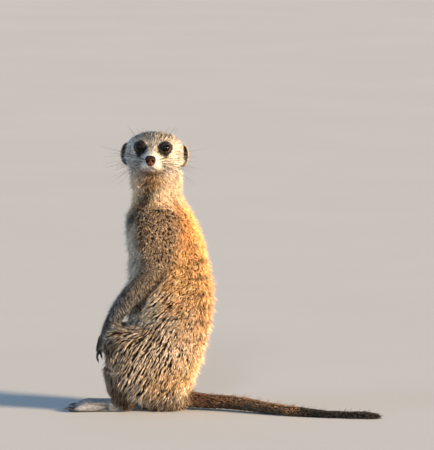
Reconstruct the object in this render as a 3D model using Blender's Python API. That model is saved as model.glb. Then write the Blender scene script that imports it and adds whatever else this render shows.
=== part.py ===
"""Meerkat sitting upright on its hind feet, life size, with its head turned to its left.

Metres, +Z up. The animal faces -Y, its left side is +X, and the floor is at z = 0.
The origin is on the flat under the rump. Sizes below are in millimetres, out to the tips of the
coat. The soft body is lofted limb by limb, fused into one surface, and then parted into its
named pieces with thin cuts. Eyes, nose, ears, paws, claws and tail are pieces of their own.
"""

import math

import bmesh
import bpy
import numpy as np
from mathutils import Matrix, Vector

MM = 0.001
GAP = 0.35  # clearance between neighbouring pieces
RING = 28  # points round a limb before it is fused
CAP_BULGE = 0.8  # how far a rounded end stands out, as a share of its smaller half size
LEFT, RIGHT = 1, -1
SIDE_NAMES = {LEFT: "left", RIGHT: "right"}

# Trunk, from the rump up: height, front, back, half width.
TRUNK = (
    (-3, -14, 15, 15),
    (6, -20, 20, 22),
    (20, -27, 23.5, 29),
    (40, -32, 30.5, 33),
    (60, -34, 36.5, 34.5),
    (80, -35, 42, 35),
    (100, -35.5, 46, 34.5),
    (115, -35, 47, 33),
    (132, -35, 46, 31),
    (150, -35.5, 43.5, 29),
    (168, -37.5, 39, 27.5),
    (184, -39, 34, 26.5),
    (196, -38, 28.5, 25),
    (206, -34, 22, 21),
)
# Neck, from the shoulders up to the skull: x, y, z, half width, half depth.
NECK = (
    (0, -5, 196, 21, 31),
    (0, -6.5, 207, 20.5, 27),
    (0.5, -7.2, 216, 20, 24.6),
    (1, -8.6, 226, 20.5, 25.4),
    (1.5, -9, 236, 21.5, 26.5),
    (2, -9.5, 246, 21, 25),
    (2, -10, 254, 18, 21),
)
NECK_CUT_HEIGHT, NECK_CUT_DEG = 208, 6
WAIST_HEIGHT = 118  # where the chest meets the abdomen

# Head, in its own frame: forward to the nose, left, up, from the point between the ears.
HEAD_CENTRE = (0, -10.3, 256)
HEAD_TURN_DEG = -4.5  # the nose points this much short of straight left
HEAD_ROLL_DEG = -2
# From the front of the brain case back: forward, half width, top, bottom.
CRANIUM = (
    (29, 7, 5.5, -10),
    (27, 12.5, 10.4, -13.5),
    (22, 19.8, 17.4, -17.2),
    (13, 25.8, 22.3, -19.4),
    (3, 28.6, 24.0, -20),
    (-6, 28.2, 23.8, -19.4),
    (-14, 24.8, 20.6, -15),
    (-21, 17.8, 14, -7),
)
MUZZLE = (
    (43, 5.0, 2.8, -9.5),
    (40, 7.4, 5.4, -12.8),
    (35, 9.6, 8.4, -15.2),
    (29, 12, 11.8, -16.6),
    (22, 15, 15.5, -17.4),
    (16, 17, 17.5, -17.8),
)
HEAD_SQUARENESS = 2.3
WHISKER_PAD = ((44, 3.0, -6.0, 3.2, 3.2), (40, 5.0, -7.0, 4.2, 4.4), (34, 7.2, -8.0, 4.8, 5.2))
BROW = ((13, 17.8, 11.5, 4.8, 5.4), (19, 14.0, 12.8, 4.6, 5.0), (24, 9.0, 11.4, 3.8, 4.2))
EYE_CENTRE, EYE_RADIUS = (22.6, 12.4, 9.6), 5.4
NOSE_CENTRE, NOSE_SIZE = (45.2, 0, -1.7), (4.4, 5.3, 5.2)

# Ear, a cupped half disc on the side of the head.
EAR_ROOT = (-3.0, 26.5, 0.2)  # forward, left, up in the head's frame
EAR_REACH, EAR_HALF_HEIGHT, EAR_WALL, EAR_CUP = 10.8, 11.2, 2.3, 5.0
EAR_SUNK, EAR_LEAN_DEG = 2.5, 14  # how far the root starts inside the head, and the ear's lean
EAR_CORNER = 0.35  # the reach at the ear's corners, as a share of its full reach
EAR_ROOT_HEIGHT = 0.8  # the height at the root, as a share of the full height
EAR_FOLD = 1.6  # how far the upper corner folds back, and the lower corner forward

# Arms: x, y, z, half width across the body, half depth. The left one is given.
UPPER_ARM = (
    (15, -7, 199, 11, 18),
    (19, -8, 188, 12, 22),
    (22.5, -8.5, 174, 11.5, 20.5),
    (24.5, -9, 160, 10.5, 17.5),
    (25.5, -10.5, 148, 9.5, 13.5),
)
FOREARM = (
    (25.5, -10.5, 149, 9.8, 13),
    (25, -18, 134, 9.2, 11.4),
    (24, -28.5, 123, 8.8, 10.4),
    (22.5, -38, 112.6, 8.2, 9.2),
    (20.5, -46.5, 102.3, 7.5, 8.4),
    (18.5, -52.5, 92, 6.7, 7.4),
    (16.8, -58, 81.7, 5.8, 6.2),
    (15.8, -61.6, 73.5, 5.3, 5.2),
)
HAND = (
    (15.7, -61.8, 74, 5.1, 4.8),
    (15.3, -64, 67.5, 6.0, 4.6),
    (15.1, -65.6, 62, 5.9, 3.9),
)
RIGHT_ARM_BACK = 3  # the right hand is held this much further back
FINGER_LENGTH, FINGER_RADIUS, FINGER_SPREAD = 6.5, 1.75, 3.1
FINGER_CLAW, FINGER_CLAW_RADIUS = 12.5, 1.2
CLAW_TAPER = 0.22  # a claw's half size at its tip, as a share of its half size at the root

# Hind legs: x, y, z, half width across the body, half height or depth.
THIGH = (
    (16, 22, 46, 11, 18),
    (19.5, 12, 50, 16, 29),
    (22.5, -4, 51, 18, 36.5),
    (24.5, -20, 53, 17.8, 36),
    (26.5, -35, 57, 16.5, 32),
    (28, -47, 61, 14.5, 26),
    (28.4, -54, 59.5, 11.5, 19),
)
SHANK = (
    (26.8, -47, 57, 12, 15.5),
    (24.0, -47.5, 44, 11.3, 14.6),
    (20, -46.5, 31, 10, 13.6),
    (16, -43, 18, 8.6, 12),
    (13.6, -40, 7, 7.2, 9.6),
)
FOOT = (
    (13.0, -39, 5.6, 6.2, 6.4),
    (13.0, -48, 5.0, 6.5, 6.3),
    (13.4, -60, 4.5, 6.6, 5.9),
    (14.2, -72, 4.4, 7.2, 5.9),
    (14.8, -82, 4.2, 8.0, 5.9),
    (15.0, -88, 3.4, 7.8, 4.8),
)
RIGHT_LEG_BACK = 4  # the right leg is set this much further back
TOE_LENGTH, TOE_RADIUS, TOE_SPREAD = 9.5, 2.5, 4.0
TOE_CLAW, TOE_CLAW_RADIUS = 8.5, 1.1
DIGITS = 4

# Tail, from inside the rump to the tip: x, y, z, half width, half height.
TAIL = (
    (0, 6, 17, 12, 12),
    (0.5, 24, 11, 8.8, 8.4),
    (3, 42, 9.2, 7.4, 7.2),
    (9, 62, 9.0, 7.2, 7.0),
    (19, 82, 8.0, 6.8, 6.6),
    (32, 101, 6.2, 6.2, 6.0),
    (44, 120, 5.2, 5.8, 5.6),
    (54, 140, 4.4, 5.0, 4.8),
    (61, 160, 3.6, 4.2, 4.0),
    (66, 180, 3.4, 4.0, 3.8),
    (69, 197, 3.6, 4.3, 4.0),
    (70, 208, 3.0, 3.4, 3.2),
    (70.2, 213, 2.2, 2.0, 1.9),
)
TAIL_CUTS = ((92, 32), (150, 20))  # where the tail is parted: y, degrees off straight back

BODY_VOXEL, BODY_SMOOTHING, BODY_FACES = 1.5, 7, 1000
HEAD_VOXEL, HEAD_SMOOTHING, HEAD_FACES = 1.0, 5, 850
PAW_VOXEL, PAW_SMOOTHING, PAW_FACES = 0.85, 2, 210
REGION_RING = 12  # points round the space that a limb is parted with
# For each limb: its rows, how far that space reaches round it, and how far it is pushed outward.
ARM_REGIONS = (("forearm_", FOREARM, 1.6, 0), ("upper_arm_", UPPER_ARM, 1.5, 5))
LEG_REGIONS = (("shank_", SHANK[1:], 1.8, 0), ("thigh_", THIGH, 3.0, 6))


# ---- small tools ---------------------------------------------------------------------------


def clear_scene():
    for item in list(bpy.data.objects):
        bpy.data.objects.remove(item)


def finish(name, colour, roughness):
    """A Principled material of one colour."""
    made = bpy.data.materials.new(name)
    made.use_nodes = True
    shader = made.node_tree.nodes["Principled BSDF"]
    shader.inputs["Base Color"].default_value = (*colour, 1)
    shader.inputs["Roughness"].default_value = roughness
    shader.inputs["Metallic"].default_value = 0
    return made


def added(name, mesh):
    item = bpy.data.objects.new(name, mesh)
    bpy.context.scene.collection.objects.link(item)
    return item


def removed(*items):
    for item in items:
        bpy.data.objects.remove(item)


def solid(name, shape):
    """An object from a bmesh, which is freed."""
    bmesh.ops.recalc_face_normals(shape, faces=shape.faces)
    mesh = bpy.data.meshes.new(name)
    shape.to_mesh(mesh)
    shape.free()
    return added(name, mesh)


def smooth_rows(rows, per_span):
    """The rows with per_span steps in each span, on a Catmull-Rom curve through them."""
    rows = np.array(rows, float)
    before, after = np.roll(rows, 1, 0), np.roll(rows, -1, 0)
    before[0], after[-1] = 2 * rows[0] - rows[1], 2 * rows[-1] - rows[-2]
    slope = (after - before) / 2
    t = (np.arange(per_span) / per_span)[None, :, None]
    p, q, m, n = (a[:, None] for a in (rows[:-1], rows[1:], slope[:-1], slope[1:]))
    curve = (
        (2 * t**3 - 3 * t**2 + 1) * p
        + (t**3 - 2 * t**2 + t) * m
        + (3 * t**2 - 2 * t**3) * q
        + (t**3 - t**2) * n
    )
    return np.vstack([curve.reshape(-1, rows.shape[1]), rows[-1:]])


def unit(vectors):
    return vectors / np.linalg.norm(vectors, axis=-1, keepdims=True)


def loft(name, rows, across=(1, 0, 0), level=None, power=2.0, per_span=4, ring=RING, caps=(72, 45, 20)):
    """A closed skin over rings of half sizes (rows: x, y, z, across, through), ends rounded.

    across is the direction of the first half size. level keeps every ring square to that
    direction instead of to the path. power 2 gives ellipses, and more gives squarer rings.
    caps are the angles, in degrees from the equator, of the rings that round off an end.
    """
    rows = smooth_rows(rows, per_span)
    centre, half = rows[:, :3], rows[:, 3:5]
    along = unit(np.gradient(centre, axis=0)) if level is None else np.tile(level, (len(rows), 1))
    side = np.array(across, float) - along * (along @ np.array(across, float))[:, None]
    side = unit(side)
    through = np.cross(along, side)
    turn = np.linspace(0, 2 * math.pi, ring, endpoint=False)
    c, s = (np.sign(f) * np.abs(f) ** (2 / power) for f in (np.cos(turn), np.sin(turn)))

    rings = []
    for end, sign in ((0, -1), (len(rows) - 1, 1)):
        bulge = sign * CAP_BULGE * half[end].min()
        rings.append(
            [
                (centre[end] + along[end] * bulge * math.sin(a), half[end] * math.cos(a), end)
                for a in np.radians(caps)
            ]
        )
    stack = rings[0] + [(centre[i], half[i], i) for i in range(len(rows))] + rings[1][::-1]

    shape = bmesh.new()
    loops = []
    for middle, sizes, i in stack:
        points = middle + np.outer(c * sizes[0], side[i]) + np.outer(s * sizes[1], through[i])
        loops.append([shape.verts.new(p * MM) for p in points])
    for lower, upper in zip(loops, loops[1:]):
        for k in range(ring):
            j = (k + 1) % ring
            shape.faces.new((lower[k], lower[j], upper[j], upper[k]))
    for end, sign, loop in ((0, -1, loops[0]), (len(rows) - 1, 1, loops[-1])):
        tip = centre[end] + along[end] * sign * CAP_BULGE * half[end].min()
        pole = shape.verts.new(tip * MM)
        for k in range(ring):
            shape.faces.new((loop[k], loop[(k + 1) % ring], pole))
    return solid(name, shape)


def ball(name, radius, segments=14, rings=8):
    """A sphere at the origin, radius in millimetres or one for each axis."""
    shape = bmesh.new()
    bmesh.ops.create_uvsphere(shape, u_segments=segments, v_segments=rings, radius=MM)
    sizes = radius if isinstance(radius, tuple) else (radius,) * 3
    bmesh.ops.scale(shape, vec=sizes, verts=shape.verts)
    return solid(name, shape)


def block(name, low, high):
    """A box between two corners in millimetres."""
    low, high = np.array(low, float) * MM, np.array(high, float) * MM
    shape = bmesh.new()
    bmesh.ops.create_cube(shape, size=1)
    bmesh.ops.scale(shape, vec=high - low, verts=shape.verts)
    bmesh.ops.translate(shape, vec=(low + high) / 2, verts=shape.verts)
    return solid(name, shape)


def settle(item):
    """Applies the item's modifiers, so that later cuts start from the finished mesh."""
    graph = bpy.context.evaluated_depsgraph_get()
    mesh = bpy.data.meshes.new_from_object(item.evaluated_get(graph), depsgraph=graph)
    item.modifiers.clear()
    item.data = mesh
    return item


def copied(item, name):
    return added(name, item.data.copy())


def grown(item, by):
    """A copy whose surface stands out by this many millimetres."""
    made = copied(item, item.name + "_grown")
    swell = made.modifiers.new("swell", "DISPLACE")
    swell.mid_level = 0
    swell.strength = by * MM
    return settle(made)


def combine(item, other, operation):
    step = item.modifiers.new("combine", "BOOLEAN")
    step.object = other
    step.operation = operation
    step.solver = "EXACT"
    return settle(item)


def keep_largest(item):
    """Drops crumbs that a cut left behind, by keeping the island with the most vertices."""
    shape = bmesh.new()
    shape.from_mesh(item.data)
    left, islands = set(shape.verts), []
    while left:
        island, edge = set(), [left.pop()]
        while edge:
            vertex = edge.pop()
            island.add(vertex)
            near = {e.other_vert(vertex) for e in vertex.link_edges} & left
            left -= near
            edge.extend(near)
        islands.append(island)
    biggest = max(islands, key=len)
    extra = [v for v in shape.verts if v not in biggest]
    bmesh.ops.delete(shape, geom=extra, context="VERTS")
    shape.to_mesh(item.data)
    shape.free()
    return item


def fused(name, pieces, voxel, smoothing, faces):
    """One smooth surface over the pieces, thinned to about this many triangles."""
    shape = bmesh.new()
    for piece in pieces:
        shape.from_mesh(piece.data)
    mesh = bpy.data.meshes.new(name)
    shape.to_mesh(mesh)
    shape.free()
    item = added(name, mesh)
    remesh = item.modifiers.new("fuse", "REMESH")
    remesh.mode = "VOXEL"
    remesh.voxel_size = voxel * MM
    smooth = item.modifiers.new("smooth", "SMOOTH")
    smooth.factor, smooth.iterations = 0.5, smoothing
    settle(item)
    removed(*pieces)
    thin = item.modifiers.new("thin", "DECIMATE")
    thin.ratio = faces / (2 * len(item.data.polygons))
    return settle(item)


def part_off(name, body, region):
    """Takes the stretch of the body inside region off as a piece of its own, a gap away."""
    piece = copied(body, name)
    combine(piece, region, "INTERSECT")
    keep_largest(piece)
    wider = grown(region, GAP)
    combine(body, wider, "DIFFERENCE")
    keep_largest(body)
    removed(wider)
    return piece


def trimmed(item, neighbour):
    """Cuts the item back from its neighbour, leaving a gap."""
    wider = grown(neighbour, GAP)
    combine(item, wider, "DIFFERENCE")
    removed(wider)
    return keep_largest(item)


# ---- head ----------------------------------------------------------------------------------


def head_matrix():
    """From the head's frame (forward, left, up, in millimetres) to the world in metres."""
    turn = Matrix.Rotation(math.radians(HEAD_TURN_DEG), 4, "Z")
    roll = Matrix.Rotation(math.radians(HEAD_ROLL_DEG), 4, "X")
    place = Matrix.Translation(Vector(HEAD_CENTRE) * MM)
    return place @ turn @ roll @ Matrix.Scale(MM, 4)


def in_head(item):
    """Moves an item modelled in the head's frame, in thousandths, to where the head is."""
    item.data.transform(head_matrix() @ Matrix.Scale(1 / MM, 4))
    return item


def skull_part(name, rings):
    rows = [
        (forward, 0, (top + bottom) / 2, half_width, (top - bottom) / 2)
        for forward, half_width, top, bottom in rings
    ]
    return in_head(loft(name, rows, across=(0, 1, 0), level=(-1, 0, 0), power=HEAD_SQUARENESS))


def swelling(name, rows, side):
    """A rounded ridge on one side of the face."""
    rows = [(forward, side * left, *rest) for forward, left, *rest in rows]
    return in_head(loft(name, rows, across=(0, 1, 0)))


def eye(side):
    item = ball("eye_" + SIDE_NAMES[side], EYE_RADIUS)
    forward, left, up = EYE_CENTRE
    item.data.transform(Matrix.Translation(Vector((forward, side * left, up)) * MM))
    return in_head(item)


def nose():
    item = ball("nose", NOSE_SIZE, 12, 7)
    item.data.transform(Matrix.Translation(Vector(NOSE_CENTRE) * MM))
    return in_head(item)


def ear(side):
    """A half disc, cupped forward, whose wall is thickest at its root.

    An angle runs round the disc from its lower to its upper corner, and a share runs outward. The
    reach follows the angle's cosine, the height its sine, and the cup a parabola in the share.
    """
    around, outward = 10, 4
    shape = bmesh.new()
    front, rear = [], []
    for i in range(around):
        angle = math.radians(-90 + 180 * i / (around - 1))
        for store, behind in ((front, 0), (rear, 1)):
            row = []
            for k in range(outward):
                share = k / (outward - 1)
                reach = EAR_REACH * share * (EAR_CORNER + (1 - EAR_CORNER) * math.cos(angle))
                spread = EAR_ROOT_HEIGHT + (1 - EAR_ROOT_HEIGHT) * share
                height = EAR_HALF_HEIGHT * math.sin(angle) * spread
                cup = EAR_CUP * (share**2 - 0.55 * share) - EAR_FOLD * math.sin(angle) * share
                wall = behind * EAR_WALL * (1.25 - 0.55 * share)
                place = Vector((cup - wall, side * (reach - EAR_SUNK), height))
                row.append(shape.verts.new(place * MM))
            store.append(row)
    for i in range(around - 1):
        for k in range(outward - 1):
            for rows in (front, rear):
                shape.faces.new((rows[i][k], rows[i][k + 1], rows[i + 1][k + 1], rows[i + 1][k]))
    rim = [row[-1] for row in front], [row[-1] for row in rear]
    root = [row[0] for row in front], [row[0] for row in rear]
    for one, two in (rim, root):
        for i in range(around - 1):
            shape.faces.new((one[i], one[i + 1], two[i + 1], two[i]))
    for i in (0, around - 1):
        for k in range(outward - 1):
            shape.faces.new((front[i][k], front[i][k + 1], rear[i][k + 1], rear[i][k]))
    item = solid("ear_" + SIDE_NAMES[side], shape)
    forward, left, up = EAR_ROOT
    lean = Matrix.Rotation(math.radians(-side * EAR_LEAN_DEG), 4, "Z")
    item.data.transform(Matrix.Translation(Vector((forward, side * left, up)) * MM) @ lean)
    return in_head(item)


# ---- limbs ---------------------------------------------------------------------------------


def arm_rows(rows, side):
    """One arm's rows. The right arm is held further back, more so towards the hand."""
    top, bottom = UPPER_ARM[-1][2], HAND[-1][2]
    found = []
    for x, y, z, wide, deep in rows:
        share = min(1, max(0, (top - z) / (top - bottom))) if side == RIGHT else 0
        found.append((side * x, y + RIGHT_ARM_BACK * share, z, wide, deep))
    return found


def leg_rows(rows, side):
    back = RIGHT_LEG_BACK if side == RIGHT else 0
    return [(side * x, y + back, *rest) for x, y, *rest in rows]


def digit_offsets(spread):
    """How far each digit lies from the middle of the paw."""
    return [spread * (i - (DIGITS - 1) / 2) for i in range(DIGITS)]


def fingers(side):
    """(digits, claws) as rows: each finger runs down from the knuckles, and its claw curves on."""
    x, y, z = arm_rows(HAND[-1:], side)[0][:3]
    digits, claws = [], []
    for i, offset in enumerate(digit_offsets(FINGER_SPREAD)):
        drop = 1.2 * abs(i - 1.4)  # the middle fingers are the longest
        start = np.array((x + offset * 0.9, y + 0.4, z + 2.0 + drop))
        mid = start + (offset * 0.10, -1.0, -FINGER_LENGTH * 0.55)
        tip = start + (offset * 0.16, -1.2, -FINGER_LENGTH)
        r = FINGER_RADIUS
        digits.append([(*start, r, r), (*mid, r * 1.05, r * 1.05), (*tip, r * 0.8, r * 0.85)])
        c = FINGER_CLAW_RADIUS
        length = FINGER_CLAW - drop
        root = tip + (0, 0.0, 2.6)
        claws.append(
            [
                (*root, c * 0.8, c),
                (*(root + (0, -1.5, -0.45 * length)), c * 0.68, c * 0.9),
                (*(root + (0, 0.4, -length)), c * CLAW_TAPER, c * CLAW_TAPER),
            ]
        )
    return digits, claws


def toes(side):
    """(digits, claws) as rows: each toe runs forward along the floor from the ball of the foot."""
    x, y, z = leg_rows(FOOT[-1:], side)[0][:3]
    digits, claws = [], []
    for i, offset in enumerate(digit_offsets(TOE_SPREAD)):
        back = 1.5 * abs(i - 1.5) ** 1.3  # the middle toes reach furthest
        r = TOE_RADIUS
        start = np.array((x + offset, y + 2.0 + back, 3.6))
        mid = start + (offset * 0.12, -TOE_LENGTH * 0.55, -0.4)
        tip = start + (offset * 0.2, -TOE_LENGTH, -1.2)
        digits.append([(*start, r, r), (*mid, r, r), (*tip, r * 0.85, r * 0.85)])
        c = TOE_CLAW_RADIUS
        root = tip + (0, 1.5, 0.9)
        claws.append(
            [
                (*root, c * 0.8, c),
                (*(root + (0, -0.55 * TOE_CLAW, 0.3)), c * 0.68, c * 0.85),
                (*(root + (0, -TOE_CLAW, -1.7)), c * CLAW_TAPER, c * CLAW_TAPER),
            ]
        )
    return digits, claws


def paw(name, rows, digits):
    """The palm or sole with its digits, as one smooth piece."""
    lofts = [loft("sole", rows, power=2.2, ring=20)]
    lofts += [loft("digit", row, ring=12, per_span=3) for row in digits]
    return fused(name, lofts, PAW_VOXEL, PAW_SMOOTHING, PAW_FACES)


def claw_set(kind, side, claws, paw_piece):
    """One curved, pointed piece for each digit, cut back from the paw."""
    made = []
    for i, rows in enumerate(claws, 1):
        title = f"{kind}_claw_{SIDE_NAMES[side]}_{i}"
        item = loft(title, rows, ring=6, per_span=1, caps=(40,))
        made.append(trimmed(item, paw_piece))
    return made


# ---- the whole body ------------------------------------------------------------------------


def soft_body():
    """Trunk, neck and legs without their paws, as one fused surface."""
    trunk_rows = [(0, (f + b) / 2, z, w, (b - f) / 2) for z, f, b, w in TRUNK]
    lofts = [
        loft("trunk", trunk_rows, level=(0, 0, 1), power=2.15, ring=40),
        loft("neck", NECK, level=(0, 0, 1), ring=32),
    ]
    for side in (LEFT, RIGHT):
        lofts += [
            loft("upper_arm", arm_rows(UPPER_ARM, side)),
            loft("forearm", arm_rows(FOREARM, side)),
            loft("thigh", leg_rows(THIGH, side)),
            loft("shank", leg_rows(SHANK, side)),
        ]
    return fused("body", lofts, BODY_VOXEL, BODY_SMOOTHING, BODY_FACES)


def head_piece():
    lofts = [skull_part("cranium", CRANIUM), skull_part("muzzle", MUZZLE)]
    for side in (LEFT, RIGHT):
        lofts += [swelling("brow", BROW, side), swelling("whisker_pad", WHISKER_PAD, side)]
    return fused("head", lofts, HEAD_VOXEL, HEAD_SMOOTHING, HEAD_FACES)


def region_round(rows, side, by, outward):
    """The space that a limb is parted from the body with, reaching well clear of its outer side."""
    wide = [(x + side * outward, y, z, w + outward + by, d + by) for x, y, z, w, d in rows]
    return loft("region", wide, ring=REGION_RING, per_span=1, caps=(45,))


def part_limbs(body, paws):
    """The legs' pieces, each parted from the body along its own outline, and clear of the paws."""
    pieces = []
    for side in (LEFT, RIGHT):
        name = SIDE_NAMES[side]
        for placed, regions in ((arm_rows, ARM_REGIONS), (leg_rows, LEG_REGIONS)):
            for title, rows, by, outward in regions:
                region = region_round(placed(rows, side), side, by, outward)
                pieces.append(part_off(title + name, body, region))
                removed(region)
        for paw_title in ("hand_", "foot_"):
            for item in (body, *pieces[-4:]):
                trimmed(item, paws[paw_title + name])
    return pieces


def tail_pieces(rump):
    """Three lengths of tail, base first. The base is cut back from the rump."""
    base = loft("tail_base", TAIL, ring=12, per_span=1)
    cut_off = []
    for name, (y, turn) in reversed(list(zip(("tail_middle", "tail_tip"), TAIL_CUTS))):
        x = float(np.interp(y, [row[1] for row in TAIL], [row[0] for row in TAIL]))
        region = block("region", (x - 40, y, -10), (x + 40, y + 140, 24))
        pivot = Matrix.Translation(Vector((x, y, 0)) * MM)
        region.data.transform(pivot @ Matrix.Rotation(math.radians(-turn), 4, "Z") @ pivot.inverted())
        cut_off.append(part_off(name, base, region))
        removed(region)
    trimmed(base, rump)
    return [base, *reversed(cut_off)]


def part_neck(body):
    """The neck, parted from the chest by a plane that rises towards the back."""
    region = block("region", (-60, -60, 0), (60, 60, 90))
    tilt = Matrix.Rotation(math.radians(NECK_CUT_DEG), 4, "X")
    region.data.transform(Matrix.Translation(Vector((0, 0, NECK_CUT_HEIGHT)) * MM) @ tilt)
    neck = part_off("neck", body, region)
    removed(region)
    return neck


def part_trunk(body):
    """The rump and belly, parted from the chest. What is left of the body is the chest."""
    region = block("region", (-80, -80, -20), (80, 90, WAIST_HEIGHT))
    lower = part_off("abdomen", body, region)
    removed(region)
    body.name = "chest"
    return lower


def level_with_floor(items):
    """Cuts each item flat where it rests on the floor."""
    floor = block("floor_cutter", (-120, -160, -30), (120, 260, 0))
    for item in items:
        lowest = min(v.co.z for v in item.data.vertices)
        if lowest < 0:
            combine(item, floor, "DIFFERENCE")
            keep_largest(item)
    removed(floor)


def dress(wearing):
    """Gives each item its material, and smooth shading that stays sharp at the cuts."""
    for material, items in wearing.items():
        for item in items:
            item.data.materials.clear()
            item.data.materials.append(material)
            item.data.shade_smooth()
            item.data.set_sharp_from_angle(angle=math.radians(50))


def build():
    clear_scene()
    body = soft_body()
    head = head_piece()
    trimmed(body, head)
    neck = part_neck(body)

    paws, claws = {}, []
    for side in (LEFT, RIGHT):
        name = SIDE_NAMES[side]
        digits, nails = fingers(side)
        paws["hand_" + name] = paw("hand_" + name, arm_rows(HAND, side), digits)
        claws += claw_set("finger", side, nails, paws["hand_" + name])
        digits, nails = toes(side)
        paws["foot_" + name] = paw("foot_" + name, leg_rows(FOOT, side), digits)
        claws += claw_set("toe", side, nails, paws["foot_" + name])

    limbs = part_limbs(body, paws)
    abdomen = part_trunk(body)
    tail = tail_pieces(abdomen)

    eyes = [eye(side) for side in (LEFT, RIGHT)]
    nose_pad = nose()
    ears = [ear(side) for side in (LEFT, RIGHT)]
    for item in (*eyes, nose_pad):
        trimmed(head, item)
    for item in ears:
        trimmed(item, head)

    flesh = [head, neck, body, abdomen, *limbs, *tail]
    level_with_floor([*flesh, *paws.values(), *claws])

    dress(
        {
            finish("coat", (0.50, 0.36, 0.22), 0.85): [body, abdomen, *limbs, *tail[:2]],
            finish("pale_coat", (0.72, 0.64, 0.52), 0.85): [head, neck],
            finish("dark_coat", (0.05, 0.04, 0.035), 0.8): [tail[2], *ears, *paws.values()],
            finish("claw_horn", (0.035, 0.03, 0.028), 0.4): claws,
            finish("nose_leather", (0.05, 0.03, 0.025), 0.45): [nose_pad],
            finish("eye", (0.03, 0.015, 0.01), 0.08): eyes,
        }
    )


build()
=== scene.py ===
"""The looks of the sitting meerkat: skin, coat, eyes, nose, claws, whiskers and studio.

Metres, +Z up. The animal faces -Y, its left side is +X. Sizes in the tables are millimetres.
The head has a frame of its own: forward to the nose, left, up.
"""

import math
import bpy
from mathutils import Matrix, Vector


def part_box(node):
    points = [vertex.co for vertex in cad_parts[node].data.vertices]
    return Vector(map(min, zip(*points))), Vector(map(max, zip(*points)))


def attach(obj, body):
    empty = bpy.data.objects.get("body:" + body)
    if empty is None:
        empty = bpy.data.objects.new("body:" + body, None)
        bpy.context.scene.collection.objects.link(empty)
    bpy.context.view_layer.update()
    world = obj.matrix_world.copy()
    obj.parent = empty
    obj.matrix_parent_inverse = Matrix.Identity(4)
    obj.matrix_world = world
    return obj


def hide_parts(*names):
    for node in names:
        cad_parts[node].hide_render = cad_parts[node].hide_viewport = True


bl_info = {
    "name": "Sitting meerkat",
    "version": (1, 0, 0),
    "blender": (4, 5, 0),
    "location": "View3D > Sidebar > Meerkat",
    "description": "Dresses the solids of a sitting meerkat in skin, coat, eyes, nose, claws and whiskers",
    "category": "Add Mesh",
}

import bmesh
import bpy
import numpy as np
from bpy.props import FloatProperty, FloatVectorProperty, IntProperty, PointerProperty
from mathutils import Matrix

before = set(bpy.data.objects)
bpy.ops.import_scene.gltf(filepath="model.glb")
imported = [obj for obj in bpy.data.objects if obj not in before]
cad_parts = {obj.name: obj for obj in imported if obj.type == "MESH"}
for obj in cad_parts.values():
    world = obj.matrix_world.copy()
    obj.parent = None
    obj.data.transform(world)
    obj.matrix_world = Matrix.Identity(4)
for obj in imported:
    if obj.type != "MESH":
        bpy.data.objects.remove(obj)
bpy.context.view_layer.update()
MM = 0.001
SIDES = {"left": 1, "right": -1}
BARE = ("eye", "nose", "finger_claw", "toe_claw")
FLESH = [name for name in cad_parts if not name.startswith(BARE)]

# The head's frame.
HEAD_CENTRE = np.array((0, -10.3, 256))
HEAD_TURN, HEAD_ROLL = math.radians(-4.5), math.radians(-2)
EYE_AT, EYE_RADIUS = np.array((22.6, 12.4, 9.6)), 5.3
NOSE_AT, NOSE_HALF = np.array((45.4, 0, -1.7)), np.array((4.4, 5.4, 5.2))
GAZE_SIDEWAYS, GAZE_UP = math.radians(27), math.radians(2)
EAR_AT, EAR_LEAN = np.array((-3.0, 26.5, 0.2)), math.radians(14)
MOUTH = (
    (45.2, 0, -6.6),
    (44.6, 0, -8.4),
    (42.5, 3.0, -9.8),
    (38, 6.6, -10.2),
    (32, 10.2, -10.0),
    (27, 12.6, -8.8),
)

# For each kind of flesh: coat depth, tuft length, tuft width, crowding, lift in degrees.
COAT = {
    "face": (1.1, 4.2, 0.40, 1.0, 20),
    "ear": (0.25, 1.5, 0.26, 1.0, 14),
    "neck": (3.4, 8.5, 0.50, 1.0, 18),
    "trunk": (4.6, 11.0, 0.66, 1.0, 25),
    "upper_arm": (2.6, 8.0, 0.56, 1.0, 24),
    "forearm": (1.3, 4.4, 0.42, 1.0, 22),
    "hand": (0.5, 2.0, 0.30, 0.7, 15),
    "thigh": (4.4, 10.5, 0.66, 1.0, 23),
    "shank": (2.4, 7.5, 0.55, 1.0, 24),
    "foot": (0.6, 2.4, 0.34, 0.8, 14),
    "tail": (1.7, 6.0, 0.55, 1.0, 16),
}
SKIN_TRIANGLES = 190000  # at most, under the finished coat
KINDS = list(COAT)
DEPTH, LENGTH, WIDTH, CROWDING, LIFT = zip(*COAT.values())
# The kind of the nodes whose name doesn't say it.
KIND_OF = {
    **dict.fromkeys(("head", "eye_left", "eye_right", "nose"), "face"),
    **dict.fromkeys(("chest", "abdomen"), "trunk"),
    **dict.fromkeys(("tail_base", "tail_middle", "tail_tip"), "tail"),
}
COLOURS = ("gold", "sand", "cream", "grey", "brown", "dark", "mask")
SKIN_LOW, COAT_LOW, CLAW_LOW = 0.0003, 0.0004, 0.0002  # the lowest that each comes, in metres
SWELL, CLEFT_DEPTH, MOUTH_DEPTH, ROOT_DEPTH = 0.5, 1.9, 0.75, 0.35  # millimetres
VOXEL, QUICK_VOXEL = 0.92, 1.3  # millimetres
CAMERA_AIM = np.array((0, 0.052, 0.1862))
LENS_TO_DISTANCE = 80  # millimetres of focal length for a metre of distance
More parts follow.
